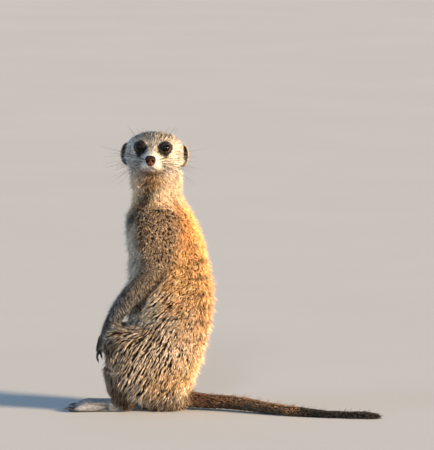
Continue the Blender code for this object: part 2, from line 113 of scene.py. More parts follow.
# The pieces of the coat: the nodes each covers, its side, tufts, joints in a tuft, and its axis.
HEAD_AXIS = ((0, -10, 240), (0, -10, 275))
TRUNK_AXIS = ((0, 2, 0), (0, 3, 120), (0, -6, 205))
PIECES = {
    "coat_head": (("head", "ear", "eye", "nose"), 0, 44000, 1, HEAD_AXIS),
    "coat_neck": (("neck",), 0, 15500, 2, ((0, -6, 205), (2, -10, 250))),
    "coat_chest_left": (("chest",), 1, 12500, 2, TRUNK_AXIS),
    "coat_chest_right": (("chest",), -1, 12500, 2, TRUNK_AXIS),
    "coat_belly_left": (("abdomen",), 1, 12500, 2, TRUNK_AXIS),
    "coat_belly_right": (("abdomen",), -1, 12500, 2, TRUNK_AXIS),
    "coat_thigh_left": (("thigh",), 1, 12000, 2, ((20, 10, 10), (24, -20, 100))),
    "coat_thigh_right": (("thigh",), -1, 12000, 2, ((-20, 14, 10), (-24, -16, 100))),
    "coat_upper_arms": (("upper_arm",), 0, 14000, 2, ((0, -7, 145), (0, -7, 200))),
    "coat_forearm_left": (("forearm", "hand"), 1, 15000, 1, ((25, -10, 148), (15, -66, 58))),
    "coat_forearm_right": (("forearm", "hand"), -1, 15000, 1, ((-25, -10, 148), (-15, -63, 58))),
    "coat_leg_left": (("shank", "foot"), 1, 12000, 1, ((26, -42, 60), (14, -40, 4), (15, -98, 4))),
    "coat_leg_right": (("shank", "foot"), -1, 12000, 1, ((-26, -38, 60), (-14, -36, 4), (-15, -94, 4))),
    "coat_tail": (
        ("tail",),
        0,
        13500,
        2,
        ((0, 16, 14), (3, 42, 9), (19, 82, 8), (44, 120, 5), (61, 160, 4), (70.2, 213, 2)),
    ),
}


# ---- head frame and small sums ---------------------------------------------------------------


def head_turn():
    """The head's axes as the rows of a matrix: a roll about forward, then a turn about up."""
    c, s = math.cos(HEAD_TURN), math.sin(HEAD_TURN)
    yaw = np.array(((c, -s, 0), (s, c, 0), (0, 0, 1)))
    c, s = math.cos(HEAD_ROLL), math.sin(HEAD_ROLL)
    roll = np.array(((1, 0, 0), (0, c, -s), (0, s, c)))
    return (yaw @ roll).T


HEAD_ROWS = head_turn()


def to_head(points):
    """World metres to the head's millimetres."""
    return (points / MM - HEAD_CENTRE) @ HEAD_ROWS.T


def from_head(points):
    """The head's millimetres to world metres."""
    return (points @ HEAD_ROWS + HEAD_CENTRE) * MM


def unit(vectors):
    return vectors / np.maximum(np.linalg.norm(vectors, axis=-1, keepdims=True), 1e-12)


def dot(a, b):
    return (a * b).sum(-1)


def ramp(value, low, high):
    """0 below low, 1 above high, and a smooth step 3t^2 - 2t^3 between."""
    t = np.clip((value - low) / (high - low), 0, 1)
    return t * t * (3 - 2 * t)


def bump(value, centre, width):
    """A bell, exp(-((value - centre) / width)^2)."""
    return np.exp(-(((value - centre) / width) ** 2))


def blend(a, b, share):
    """a where share is 0, b where it is 1."""
    share = np.asarray(share)[..., None]
    return np.asarray(a) * (1 - share) + np.asarray(b) * share


def nearest(points, targets, heading=None, squeeze=None, rows=2000):
    """Which target is nearest to each point, from |t|^2 - 2 p.t in blocks of rows.

    With a heading, a gap along it counts only squeeze of its length, so that each target's
    share of the points is drawn out along the heading.
    """
    points, targets = points.astype(np.float32), targets.astype(np.float32)
    square = (targets**2).sum(1)
    found = []
    for i in range(0, len(points), rows):
        block = points[i : i + rows]
        gap = square - 2 * block @ targets.T
        if heading is not None:
            way = heading[i : i + rows].astype(np.float32)
            share = (1 - squeeze[i : i + rows, None] ** 2).astype(np.float32)
            gap = gap - share * (dot(block, way)[:, None] - way @ targets.T) ** 2
        found.append(gap.argmin(1))
    return np.concatenate(found)


def along_path(points, path):
    """(nearest place on the path from 0 to 1, distance, its direction) for every point."""
    path = np.array(path, float)
    start, step = path[:-1], np.diff(path, axis=0)
    length = np.linalg.norm(step, axis=1)
    share = np.clip(((points[:, None] - start) * step).sum(2) / length**2, 0, 1)
    gap = np.linalg.norm(points[:, None] - start - share[..., None] * step, axis=2)
    best = gap.argmin(1)
    rows = np.arange(len(points))
    reached = np.concatenate([[0], np.cumsum(length)])[best] + share[rows, best] * length[best]
    return reached / length.sum(), gap[rows, best], unit(step)[best]


def waves(points, size, seed, count=10):
    """Smooth noise from -1 to 1: a mean of sines of random heading, about size long."""
    rng = np.random.default_rng(seed)
    heading = unit(rng.normal(size=(count, 3))) * rng.uniform(0.6, 1.5, (count, 1)) * 2 * math.pi / size
    phase = rng.uniform(0, 2 * math.pi, count)
    return np.clip(np.sin(points @ heading.T + phase).sum(1) / math.sqrt(count), -1.6, 1.6) / 1.6


# ---- meshes ----------------------------------------------------------------------------------


def mesh_object(name, points, faces, smooth=True):
    """A mesh from whole arrays. faces is (count, corners), or a list of such arrays."""
    stacks = faces if isinstance(faces, list) else [faces]
    corners = np.concatenate([stack.ravel() for stack in stacks]).astype(np.int32)
    sizes = np.concatenate([np.full(len(stack), stack.shape[1], np.int32) for stack in stacks])
    mesh = bpy.data.meshes.new(name)
    mesh.vertices.add(len(points))
    mesh.vertices.foreach_set("co", np.ascontiguousarray(points, np.float32).ravel())
    mesh.loops.add(len(corners))
    mesh.loops.foreach_set("vertex_index", corners)
    mesh.polygons.add(len(sizes))
    mesh.polygons.foreach_set("loop_start", np.concatenate([[0], np.cumsum(sizes)[:-1]]).astype(np.int32))
    mesh.polygons.foreach_set("use_smooth", np.full(len(sizes), smooth))
    mesh.update(calc_edges=True)
    item = bpy.data.objects.new(name, mesh)
    bpy.context.scene.collection.objects.link(item)
    return item


def store(mesh, name, values):
    """Keeps one value or vector for every vertex."""
    kind = "FLOAT" if values.ndim == 1 else "FLOAT_VECTOR"
    slot = mesh.attributes.get(name) or mesh.attributes.new(name, kind, "POINT")
    slot.data.foreach_set("value" if values.ndim == 1 else "vector", values.astype(np.float32).ravel())


def stored(mesh, name, width=1):
    values = np.empty(len(mesh.vertices) * width, np.float32)
    mesh.attributes[name].data.foreach_get("value" if width == 1 else "vector", values)
    return values if width == 1 else values.reshape(-1, width)


def vertex_places(mesh):
    values = np.empty(len(mesh.vertices) * 3, np.float32)
    mesh.vertices.foreach_get("co", values)
    return values.reshape(-1, 3).astype(float)


def vertex_normals(mesh):
    values = np.empty(len(mesh.vertices) * 3, np.float32)
    mesh.vertex_normals.foreach_get("vector", values)
    return values.reshape(-1, 3).astype(float)


def place_vertices(mesh, points):
    mesh.vertices.foreach_set("co", np.ascontiguousarray(points, np.float32).ravel())
    mesh.update()


def edge_ends(mesh):
    values = np.empty(len(mesh.edges) * 2, np.int32)
    mesh.edges.foreach_get("vertices", values)
    return values.reshape(-1, 2)


def evened(values, ends, rounds):
    """Each value moved halfway to the mean of its neighbours, this many times."""
    a, b = ends.T
    count = len(values)
    busy = np.maximum(np.bincount(a, minlength=count) + np.bincount(b, minlength=count), 1)
    for _ in range(rounds):
        mean = [
            (np.bincount(a, c[b], count) + np.bincount(b, c[a], count)) / busy for c in values.T
        ]
        values = (values + np.stack(mean, 1)) / 2
    return values


def full_turn(columns):
    """Even steps round a full turn in radians, as a row."""
    return np.linspace(0, 2 * math.pi, columns, endpoint=False)[None]


def grid_faces(rows, columns):
    """Quads of a grid of rows by columns, its last column joined to the first."""
    i = np.arange(rows - 1)[:, None]
    j = np.arange(columns)[None]
    k = (j + 1) % columns
    a, b, c, d = i * columns + j, i * columns + k, (i + 1) * columns + k, (i + 1) * columns + j
    return np.stack(np.broadcast_arrays(a, b, c, d), -1).reshape(-1, 4)


def capped(points, columns):
    """Fans that close the first and the last row of a grid, each to a new point at its middle."""
    first, last = points[:columns], points[-columns:]
    count = len(points)
    j = np.arange(columns)
    k = (j + 1) % columns
    lower = np.stack([k, j, np.full(columns, count)], 1)
    upper = np.stack([count - columns + j, count - columns + k, np.full(columns, count + 1)], 1)
    return np.vstack([points, first.mean(0), last.mean(0)]), np.vstack([lower, upper])


def gathered(parts):
    """Joins parts, each (points, faces, more faces), to one such part."""
    starts = np.cumsum([0] + [len(part[0]) for part in parts])
    faces = [np.vstack([part[i] + start for part, start in zip(parts, starts)]) for i in (1, 2)]
    return np.vstack([part[0] for part in parts]), *faces


def dressed(item, material, slot, *nodes):
    """Gives a finished piece its material and its place in the frame."""
    item.data.materials.clear()
    item.data.materials.append(material)
    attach(item, "root")
    if nodes:
        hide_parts(*nodes)
    return item


# ---- shader sums -----------------------------------------------------------------------------


class Wire:
    """A socket in a material. Sums on values add Math nodes, and colours go through mix."""

    def __init__(self, tree, socket):
        self.tree, self.socket = tree, socket

    def node(self, kind, settings=None, inputs=None, output=0):
        """Adds a node: its settings first, then a value or a link for each named socket."""
        made = self.tree.nodes.new(kind)
        for name, value in (settings or {}).items():
            setattr(made, name, value)
        for name, value in (inputs or {}).items():
            if isinstance(value, Wire):
                self.tree.links.new(value.socket, made.inputs[name])
            else:
                made.inputs[name].default_value = value
        return Wire(self.tree, made.outputs[output])

    def math(self, operation, a, b=0.0):
        return self.node("ShaderNodeMath", {"operation": operation}, {0: a, 1: b})

    def __add__(self, other):
        return self.math("ADD", self, other)

    __radd__ = __add__

    def __mul__(self, other):
        return self.math("MULTIPLY", self, other)

    __rmul__ = __mul__

    def __sub__(self, other):
        return self.math("SUBTRACT", self, other)

    def __rsub__(self, other):
        return self.math("SUBTRACT", other, self)

    def step(self, low, high):
        """0 below low, 1 above high, smooth between."""
        settings = {"interpolation_type": "SMOOTHSTEP"}
        sockets = {"Value": self, "From Min": low, "From Max": high, "To Min": 0.0, "To Max": 1.0}
        return self.node("ShaderNodeMapRange", settings, sockets)

    def mix(self, a, b, share, how="MIX"):
        """Colours a and b mixed by share."""
        settings = {"data_type": "RGBA", "blend_type": how}
        return self.node("ShaderNodeMix", settings, {0: share, 6: a, 7: b}, 2)

    def attribute(self, name, output="Fac"):
        return self.node("ShaderNodeAttribute", {"attribute_name": name}, output=output)

    def place(self):
        return self.node("ShaderNodeTexCoord", output="Object")

    def noise(self, scale, detail=2.0, where=None):
        sockets = {"Vector": where or self.place(), "Scale": scale, "Detail": detail}
        return self.node("ShaderNodeTexNoise", {}, sockets)

    def raised(self, height, strength, distance):
        """A bumped normal."""
        sockets = {"Height": height, "Strength": strength, "Distance": distance}
        return self.node("ShaderNodeBump", {}, sockets)


def material(name, roughness, fixed=None):
    """(material, a wire to start sums from, a function that feeds the shader's socket)."""
    made = bpy.data.materials.new(name)
    made.use_nodes = True
    tree = made.node_tree
    shader = tree.nodes["Principled BSDF"]
    shader.inputs["Roughness"].default_value = roughness
    for socket, value in (fixed or {}).items():
        shader.inputs[socket].default_value = value

    def feed(socket, wire):
        tree.links.new(wire.socket, shader.inputs[socket])

    return made, Wire(tree, None), feed


def fur_material():
    """Each tuft runs from its root colour to its tip colour; the dark lower part is partly the hair's own
    dark base and partly painted shade deeper in the coat.

    A tuft's own tone sets how bright it is. Where the coat is pointed the brightest tips go
    pale and some end in the root's colour, and the darkest tufts, the undercoat, are root colour
    throughout and darkened further, partly as painted shade in the gaps between locks.
    """
    made, sums, feed = material("coat", 0.62, {"Specular IOR Level": 0.3})
    along, tone = sums.attribute("along"), sums.attribute("tone")
    root, tip = sums.attribute("root_colour", "Color"), sums.attribute("tip_colour", "Color")
    pointed = sums.attribute("pointed")
    tip = sums.mix(tip, (1.0, 0.88, 0.70, 1), tone.step(0.6, 1.0) * pointed * 0.45)
    # Partly painted shade: the lower part of each tuft is dark.
    body = sums.mix(root, tip, along.step(0.28, 0.64))
    body = sums.mix(body, root, along.step(0.8, 1.0) * tone.step(0.8, 0.9) * pointed * 0.8)
    # Partly painted shade: the undercoat is root colour throughout.
    body = sums.mix(body, root, (1.0 - tone.step(0.05, 0.2)) * 0.92)
    speck = sums.noise(900.0, 2.0).step(0.3, 0.7)
    shade = 0.14 + 1.12 * tone + 0.1 * speck
    shade = sums.node("ShaderNodeCombineXYZ", {}, {0: shade, 1: shade, 2: shade})
    feed("Base Color", sums.mix(body, shade, 1.0, "MULTIPLY"))
    feed("Roughness", 0.5 + 0.25 * speck)
    return made


def skin_material():
    """Short fur: the marking's colours in fine streaks and specks, raised a little."""
    made, sums, feed = material("skin", 0.7, {"Specular IOR Level": 0.25})
    root, tip = sums.attribute("root_colour", "Color"), sums.attribute("tip_colour", "Color")
    fine = sums.noise(1500.0, 3.0)
    patch = sums.noise(260.0, 2.0)
    share = (fine.step(0.3, 0.7) * 0.55 + patch.step(0.25, 0.75) * 0.3) * sums.attribute("short")
    feed("Base Color", sums.mix(root, tip, share))
    feed("Roughness", 0.55 + 0.3 * fine)
    feed("Normal", sums.raised(fine + 0.6 * patch, 0.35, 0.0004))
    return made


# ---- markings --------------------------------------------------------------------------------


def eye_places(points):
    """How far each point is across, above and ahead of the nearer eye's middle, in millimetres.
    Across grows outward."""
    here = to_head(points)
    side = np.where(here[:, 1] >= 0, 1.0, -1.0)
    centre = EYE_AT * np.stack([np.ones_like(side), side, np.ones_like(side)], 1)
    away = here - centre
    return away[:, 1] * side, away[:, 2], away[:, 0]


def palette():
    """The coat's colours as arrays, in the order of COLOURS."""
    coat = bpy.context.scene.meerkat_coat
    return [np.array(getattr(coat, name)[:]) for name in COLOURS]


def markings(points, kinds):
    """(root colour, tip colour, share of dark points) at every point, from its place and kind.

    kinds holds the share of each kind of flesh. Colours are blended by smooth steps of height,
    of distance from the middle line, and of places in the head's frame. Drift and fleck are
    coarse and fine noise that make their edges wander. Each part's marks lie over the last's.
    """
    kind = {name: kinds[:, i] for i, name in enumerate(KINDS)}
    drift, fleck = waves(points / MM, 14, 3), waves(points / MM, 3.2, 4)
    marks = trunk_marks(points, kind, drift)
    marks = neck_marks(points, kind, drift, fleck, *marks)
    marks = limb_marks(points, kind, drift, fleck, *marks)
    root, tip, pointed = head_marks(points, kind, drift, fleck, *marks)
    shade = 1 + 0.16 * drift[:, None]
    return np.clip(root, 0, 1), np.clip(tip * shade, 0, 1), pointed


def trunk_marks(points, kind, drift):
    """Gold down the back, sand on the flanks, grey and pale towards the belly."""
    gold, sand, cream, grey, brown, dark, _ = palette()
    x, y, z = (points / MM).T
    out = np.abs(x)
    trunk_front = ramp(-y + 6 * drift, 6, 30)
    forward_gold = 20 * ramp(z, 100, 140)
    tip = blend(gold, sand, ramp(-y + 9 * drift - forward_gold, -26, 4))
    tip = tip * (1 - np.array((0, 0.1, 0.22)) * ramp(z, 150, 180)[:, None])
    shoulder = ramp(z, 115, 150) * ramp(-z, -222, -196) * ramp(-y + 4 * drift, -6, 8)
    tip = tip * (1 - 0.4 * shoulder[:, None])
    tip = blend(tip, cream, 0.45 * ramp(-z + 12 * drift, -135, -70) * ramp(-y, -50, -20))
    tip = blend(tip, blend(grey, cream, 0.62 - 0.36 * ramp(-z, -128, -108)), trunk_front * kind["trunk"])
    root = blend(brown * (1.1, 0.7, 0.5), brown * (0.7, 0.5, 0.4), ramp(-y + 5 * drift, -26, 0))
    # Short dark bars cross the back.
    across_back = ramp(y, 14, 34) * (1 - ramp(out, 16, 30))
    bars = ramp(np.sin(z * 2 * math.pi / 15 + 1.5 * drift + 0.02 * out), 0.25, 0.85)
    bars = bars * across_back * (1 - ramp(z, 150, 175)) * kind["trunk"]
    return blend(root, dark, bars), blend(tip, brown, 0.6 * bars), np.full(len(points), 0.9)


def neck_marks(points, kind, drift, fleck, root, tip, pointed):
    """Cream, with a dark mottled throat, partly the coat's own dark fur and partly painted shade under the
    chin, that turns with the head from the chest to the chin.
    """
    gold, sand, cream, _, brown, dark, _ = palette()
    x, y, z = (points / MM).T
    heading = np.degrees(np.arctan2(x - 1, -(y + 7)))
    facing = np.interp(z, (180, 190, 205, 228, 245), (0, 16, 38, 64, 80))
    throat = bump((heading - facing + 180) % 360 - 180, 0, 21 + 4 * drift)
    throat = throat * ramp(z, 176, 200) * ramp(-z, -243, -234)
    on_neck = ramp(z + 8 * drift + 5 * fleck, 188, 224)
    neck_tip = blend(cream, sand, 0.4 + 0.4 * ramp(-z, -226, -204)) * (1, 0.97, 0.9)
    behind = ramp(-np.cos(np.radians(heading - facing)), 0.1, 0.9)
    neck_tip = blend(neck_tip, blend(sand, gold, 0.5) * 0.85, behind * 0.9)
    tip = blend(tip, neck_tip, on_neck)
    root = blend(root, blend(sand, brown, 0.28 + 0.5 * behind), on_neck)
    # The throat's dark is partly the coat's own dark fur and partly painted shade under the chin.
    tip = blend(tip, brown * 0.6, throat * ramp(fleck, -1.4, -0.5))
    root = blend(root, dark, throat)
    pointed = pointed * (1 - 0.76 * on_neck * (1 - throat) * (1 - 0.6 * behind)) * (1 - 0.45 * ramp(y, 2, 20))
    chest = 0.6 * ramp(-y, 20, 32) * kind["trunk"] * ramp(z, 110, 130)
    return root, tip, pointed * (1 - chest) * (1 - 0.5 * throat)


def limb_marks(points, kind, drift, fleck, root, tip, pointed):
    """A haunch darkened in front by painted shade and golden low behind by painted warm light,
    painted shade low down near the floor, brown and grey limbs with dark hands, painted shade in
    the clefts between the digits, pale feet tinted blue by painted cool shade, and a brown tail
    with a black end."""
    gold, sand, cream, grey, brown, dark, _ = palette()
    x, y, z = (points / MM).T
    # Painted shade: the front and the top front of the haunch, which face away from the key light, are
    # darkened.
    front = ramp(-y + 5 * drift, 22, 40) * ramp(z, 40, 70)
    front = kind["thigh"] * np.maximum(front, 0.85 * ramp(z + 3 * drift, 68, 82) * ramp(-y, -4, 10))
    tip = blend(tip, blend(grey, sand, 0.5) * 0.20, front * 0.9)
    # Painted light: a golden glow low on the rear of the haunch, where the warm key light falls.
    painted_glow = kind["thigh"] * bump(z + 4 * drift, 34, 18) * ramp(y, -26, -6)
    tip = blend(tip, blend(gold, sand, 0.3) * 1.15, painted_glow * 0.85)
    root = blend(root, brown * 1.4, painted_glow * 0.7)
    low = kind["thigh"] * ramp(-z + 4 * drift, -48, -22) * ramp(-y, 26, 40)
    tip = blend(tip, blend(brown * 2, sand, 0.32), low * 0.65)
    # Painted shade: the coat is darkened low down near the floor, except on the feet and the tail.
    painted_floor_shade = ramp(-z + 3 * drift, -25, -9) * (1 - kind["foot"]) * (1 - kind["tail"])
    tip = blend(tip, blend(brown * 1.5, sand, 0.08), painted_floor_shade * 0.9)

    arm = kind["upper_arm"] + kind["forearm"] + kind["hand"]
    tip = blend(tip, blend(brown * 1.2, sand, 0.25 + 0.4 * fleck), kind["upper_arm"] * 0.85)
    root = blend(root, dark, kind["upper_arm"])
    fringe = kind["upper_arm"] * ramp(-y + 2 * drift, 24, 31) * ramp(np.abs(x), 16, 22)
    tip = blend(tip, blend(grey, cream, 0.8), fringe)
    forearm_tip = blend(sand * 0.5, grey * (0.72, 0.78, 0.9), ramp(-z, -140, -105))
    tip = blend(tip, forearm_tip, kind["forearm"] * 0.95)
    root = blend(root, dark * 1.6, kind["forearm"] + kind["hand"])
    dark_hand = ramp(-z, -84, -72) * arm
    tip = blend(tip, dark * 0.7, dark_hand)

    leg = kind["shank"] + kind["foot"]
    tip = blend(tip, brown * 1.2, kind["shank"] * 0.9)
    shin = kind["shank"] * ramp(-y + 2 * drift, 42, 50) * ramp(z, 18, 30)
    tip = blend(tip, blend(grey, cream, 0.45) * 0.8, shin * 0.8)
    # The feet are pale grey, tinted blue as painted cool shade.
    tip = blend(tip, blend(grey, cream, 0.25) * (0.85, 0.95, 1.15), kind["foot"] * 0.9)
    root = blend(root, dark * 1.6, leg)
    tip = blend(tip, dark * 2.2, ramp(-y, 84, 94) * kind["foot"])
    # Painted shade: the clefts between the digits, which the skin also sinks, are darkened.
    grooves = clefts(points)
    tip, root = blend(tip, dark * 0.3, grooves), blend(root, dark * 0.3, grooves)

    tail = kind["tail"]
    tip = blend(tip, blend(brown * (0.58, 0.44, 0.38), sand, 0.10 * ramp(y, 30, 90)), tail)
    root = blend(root, brown * 0.6, tail)
    end = tail * ramp(y + 6 * drift, 122, 142)
    pointed = pointed * (1 - 0.95 * tail) * (1 - end) * (1 - dark_hand) * (1 - 0.5 * leg)
    return blend(root, dark * 0.5, end), blend(tip, dark * 0.5, end), pointed


def head_marks(points, kind, drift, fleck, root, tip, pointed):
    """A cream face and grizzled crown, black patches round the eyes darkened inside by painted socket shade,
    painted shade under the chin, dark lips and ears.
    """
    gold, sand, cream, grey, brown, dark, mask = palette()
    z = points[:, 2] / MM
    forward, left, up = to_head(points).T
    wide = np.abs(left)
    on_head = ramp(z + 4 * drift, 232, 246)
    face_tip = np.tile(cream * (0.95, 0.97, 1.04), (len(points), 1))
    face_root = np.tile(blend(grey, cream, 0.45), (len(points), 1))
    crown = ramp(up - 0.25 * forward, 9, 17) * (1 - ramp(wide, 12, 24) * 0.5)
    bridge = bump(wide, 0, 7.5) * ramp(forward, 8, 16) * ramp(up, 2, 7) * (1 - ramp(forward, 34, 42))
    grizzle = blend(grey * 1.2, cream * (1, 0.95, 0.9), 0.6 + 0.28 * fleck)
    crowned = np.clip(crown + 0.75 * bridge, 0, 1) * 0.92 * ramp(forward, -24, -10)
    face_tip = blend(face_tip, grizzle, crowned)
    face_root = blend(face_root, blend(brown, grey, 0.35), crowned)
    nape = ramp(-forward + 3 * drift, -6, 14)
    face_tip = blend(face_tip, blend(sand, gold, 0.4) * 0.8, nape * 0.85)
    face_root = blend(face_root, brown, nape * 0.6)

    # An eye's patch is an oval with a drop hanging from it, edged with gold.
    across, above, _ = eye_places(points)
    reach = np.where(above < 0, 8.2, 6.8)
    patch = np.hypot((across - 0.3) / np.where(across < 0, 8.2, 7.0), above / reach)
    drop = np.hypot(across / (2.2 + 0.35 * np.clip(above + 11, 0, 8)), (above + 5.0) / 5.2)
    edge, before = np.minimum(patch, drop) + 0.08 * fleck, ramp(forward, 4, 12)
    eyes = (1 - ramp(edge, 0.84, 1.10)) * before
    face_tip = blend(face_tip, gold * 0.5, 0.6 * (bump(edge, 1.10, 0.13) * before))
    face_tip = blend(face_tip, mask, eyes)
    # Painted shade: the inner patch round each eye, black in its own right, is darkened further as the shade
    # of the deep socket.
    face_tip = blend(face_tip, dark * 0.25, eyes * (1 - ramp(patch, 0.62, 0.86)))
    face_root = blend(face_root, dark * 0.3, eyes)
    lips = mouth_nearness(points, 1.0) * 0.9
    face_tip, face_root = blend(face_tip, dark, lips * 0.8), blend(face_root, dark, lips)
    tip, root = blend(tip, face_tip, on_head), blend(root, face_root, on_head)

    # Painted shade under the muzzle, warmed by light thrown up from the floor: the chin is drawn
    # orange-brown.
    chin = bump(wide, 0, 12) * ramp(-up, 10.5, 14) * ramp(forward, 6, 16) * ramp(z, 220, 234)
    tip = blend(tip, blend(gold * 0.7, brown * 2, 0.4), chin * 0.9)
    root = blend(root, brown, chin)
    on_face = (0.26 + 0.65 * crowned) * (1 - eyes)
    pointed = pointed * (1 - on_head) + on_face * on_head
    ear = kind["ear"]
    return blend(root, dark, ear), blend(tip, dark * 1.4, ear), pointed * (1 - ear)


def mouth_nearness(points, width):
    """1 on the mouth's line, falling off as a bell of its distance, in millimetres."""
    here = to_head(points)
    here[:, 1] = np.abs(here[:, 1])
    gap = along_path(here, MOUTH)[1]
    return np.exp(-((gap / width) ** 2))


# ---- skin ------------------------------------------------------------------------------------


def fused_flesh(swell, voxel, rounds):
    """One closed surface over the flesh, eyes and nose, swollen a little so that gaps close."""
    nodes = [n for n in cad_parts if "claw" not in n and not n.startswith("ear")]
    joined = bmesh.new()
    for name in nodes:
        one = bmesh.new()
        one.from_mesh(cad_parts[name].data)
        bmesh.ops.remove_doubles(one, verts=one.verts, dist=1e-6)
        one.normal_update()
        for vertex in one.verts:
            vertex.co += vertex.normal * swell
        mesh = bpy.data.meshes.new(name + "_swollen")
        one.to_mesh(mesh)
        one.free()
        joined.from_mesh(mesh)
        bpy.data.meshes.remove(mesh)
    mesh = bpy.data.meshes.new("flesh")
    joined.to_mesh(mesh)
    joined.free()
    item = bpy.data.objects.new("flesh", mesh)
    bpy.context.scene.collection.objects.link(item)
    fuse = item.modifiers.new("fuse", "REMESH")
    fuse.mode = "VOXEL"
    fuse.voxel_size = voxel
    even = item.modifiers.new("even", "SMOOTH")
    even.factor, even.iterations = 0.5, rounds
    graph = bpy.context.evaluated_depsgraph_get()
    fused = bpy.data.meshes.new_from_object(item.evaluated_get(graph), depsgraph=graph)
    bpy.data.objects.remove(item)
    return fused


def flesh_at(points):
    """Which node each point is nearest to, by the middles of the nodes' faces."""
    names, middles, owner = list(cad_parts), [], []
    for i, name in enumerate(names):
        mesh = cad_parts[name].data
        if "claw" in name:
            continue
        middle = np.empty(len(mesh.polygons) * 3, np.float32)
        mesh.polygons.foreach_get("center", middle)
        middles.append(middle.reshape(-1, 3))
        owner.append(np.full(len(mesh.polygons), i))
    owner = np.concatenate(owner)
    return np.array(names)[owner[nearest(points, np.vstack(middles))]]


def kind_of(name):
    """The kind of flesh of a node: its name without the side, where KIND_OF has no other."""
    return KIND_OF.get(name, name.rsplit("_", 1)[0])


def refined(mesh, near):
    """Cuts the faces whose middle is near in four."""
    shape = bmesh.new()
    shape.from_mesh(mesh)
    middles = np.array([face.calc_center_median() for face in shape.faces])
    chosen = near(middles)
    edges = {edge for face, ok in zip(shape.faces, chosen) if ok for edge in face.edges}
    bmesh.ops.subdivide_edges(shape, edges=list(edges), cuts=1, use_grid_fill=True)
    bmesh.ops.triangulate(shape, faces=[face for face in shape.faces if len(face.verts) > 4])
    shape.to_mesh(mesh)
    shape.free()


def sculpt_lids(points):
    """Draws the skin over each eyeball, with an almond opening.

    A point keeps its direction from the eye's middle, and its distance becomes a function of
    e, the angle from the gaze as a share of the opening's half angle in that direction: well
    inside the ball where e < 0.8, just proud of it at e = 1.04, a lid's thickness at e = 1.35,
    and back to its own distance by e = 1.9.
    """
    face = bpy.context.scene.meerkat_face
    here = to_head(points)
    for side in SIDES.values():
        away = here - EYE_AT * (1, side, 1)
        gap = np.linalg.norm(away, axis=1)
        gaze, beside, above = gaze_axes(side)
        aim = unit(away)
        angle = np.degrees(np.arccos(np.clip(aim @ gaze, -1, 1)))
        heading = np.arctan2(aim @ above, aim @ beside)
        wide, tall = face.lid_width, np.where(np.sin(heading) > 0, face.lid_top, face.lid_bottom)
        almond = 1 / np.hypot(np.cos(heading) / wide, np.sin(heading) / tall)
        almond = almond * (1 + 0.10 * np.cos(2 * heading) ** 8 * (np.abs(np.cos(heading)) > 0.7))
        e = angle / almond
        lid = EYE_RADIUS - 1.5 + 1.75 * ramp(e, 0.80, 1.04) + 0.75 * ramp(e, 1.02, 1.35)
        lid = np.where(e > 1.3, np.maximum(lid, np.minimum(gap, EYE_RADIUS + 2.2)), lid)
        share = (1 - ramp(e, 1.35, 1.9)) * (1 - ramp(gap, 9.5, 11.5))
        new = gap * (1 - share) + lid * share
        held = (gap < 10) & (e > 1.3)
        new = np.where(held, np.maximum(new, EYE_RADIUS + 0.6), new)
        here = here + unit(away) * (new - gap)[:, None]
    return from_head(here)


def sunk_under_nose(points):
    """Draws the skin back under the nose pad, so that the nostrils have room."""
    here = to_head(points)
    gap = np.linalg.norm((here - NOSE_AT) / NOSE_HALF, axis=1)
    here[:, 0] -= 4.2 * (1 - ramp(gap, 0.80, 1.12))
    return from_head(here)


def claw_middles(kind, label):
    """The middles of one paw's claws, in millimetres, in the order of x."""
    boxes = [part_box(n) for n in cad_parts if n.startswith(f"{kind}_claw_{label}")]
    middles = np.array([(np.array(low) + np.array(high)) / 2 for low, high in boxes]) / MM
    return middles[np.argsort(middles[:, 0])]


def clefts(points):
    """1 in the grooves between neighbouring digits, 0 away from them.

    A groove is a bell of the distance sideways from the middle between two claws, times a
    smooth step of the place along the digit: down the hand, and forward on the foot.
    """
    here = points / MM
    depth = np.zeros(len(points))
    for label in SIDES:
        for kind, axis, start, length in (("finger", 2, 5.5, 9.0), ("toe", 1, 3.5, 15.0)):
            middles = claw_middles(kind, label)
            middle = middles.mean(0)
            away = here - middle
            close = 1 - ramp(np.abs(away[:, 0]), 7, 10)
            beyond = away[:, axis] - start
            close = close * (1 - ramp(beyond, 0, length)) * (1 - ramp(np.abs(away[:, 3 - axis]), 9, 12))
            for a, b in zip(middles[:-1], middles[1:]):
                depth += close * bump(here[:, 0], (a[0] + b[0]) / 2, 0.62)
    return np.clip(depth, 0, 1)


def gaze_axes(side):
    """(ahead, outward, up) of one eye's gaze, in the head's frame."""
    c, s = math.cos(GAZE_SIDEWAYS), math.sin(GAZE_SIDEWAYS)
    ahead = unit(np.array((c, side * s, math.tan(GAZE_UP))))
    beside = unit(np.array((-side * s, c, 0)) * side)
    return ahead, beside, np.cross(ahead, beside) * side


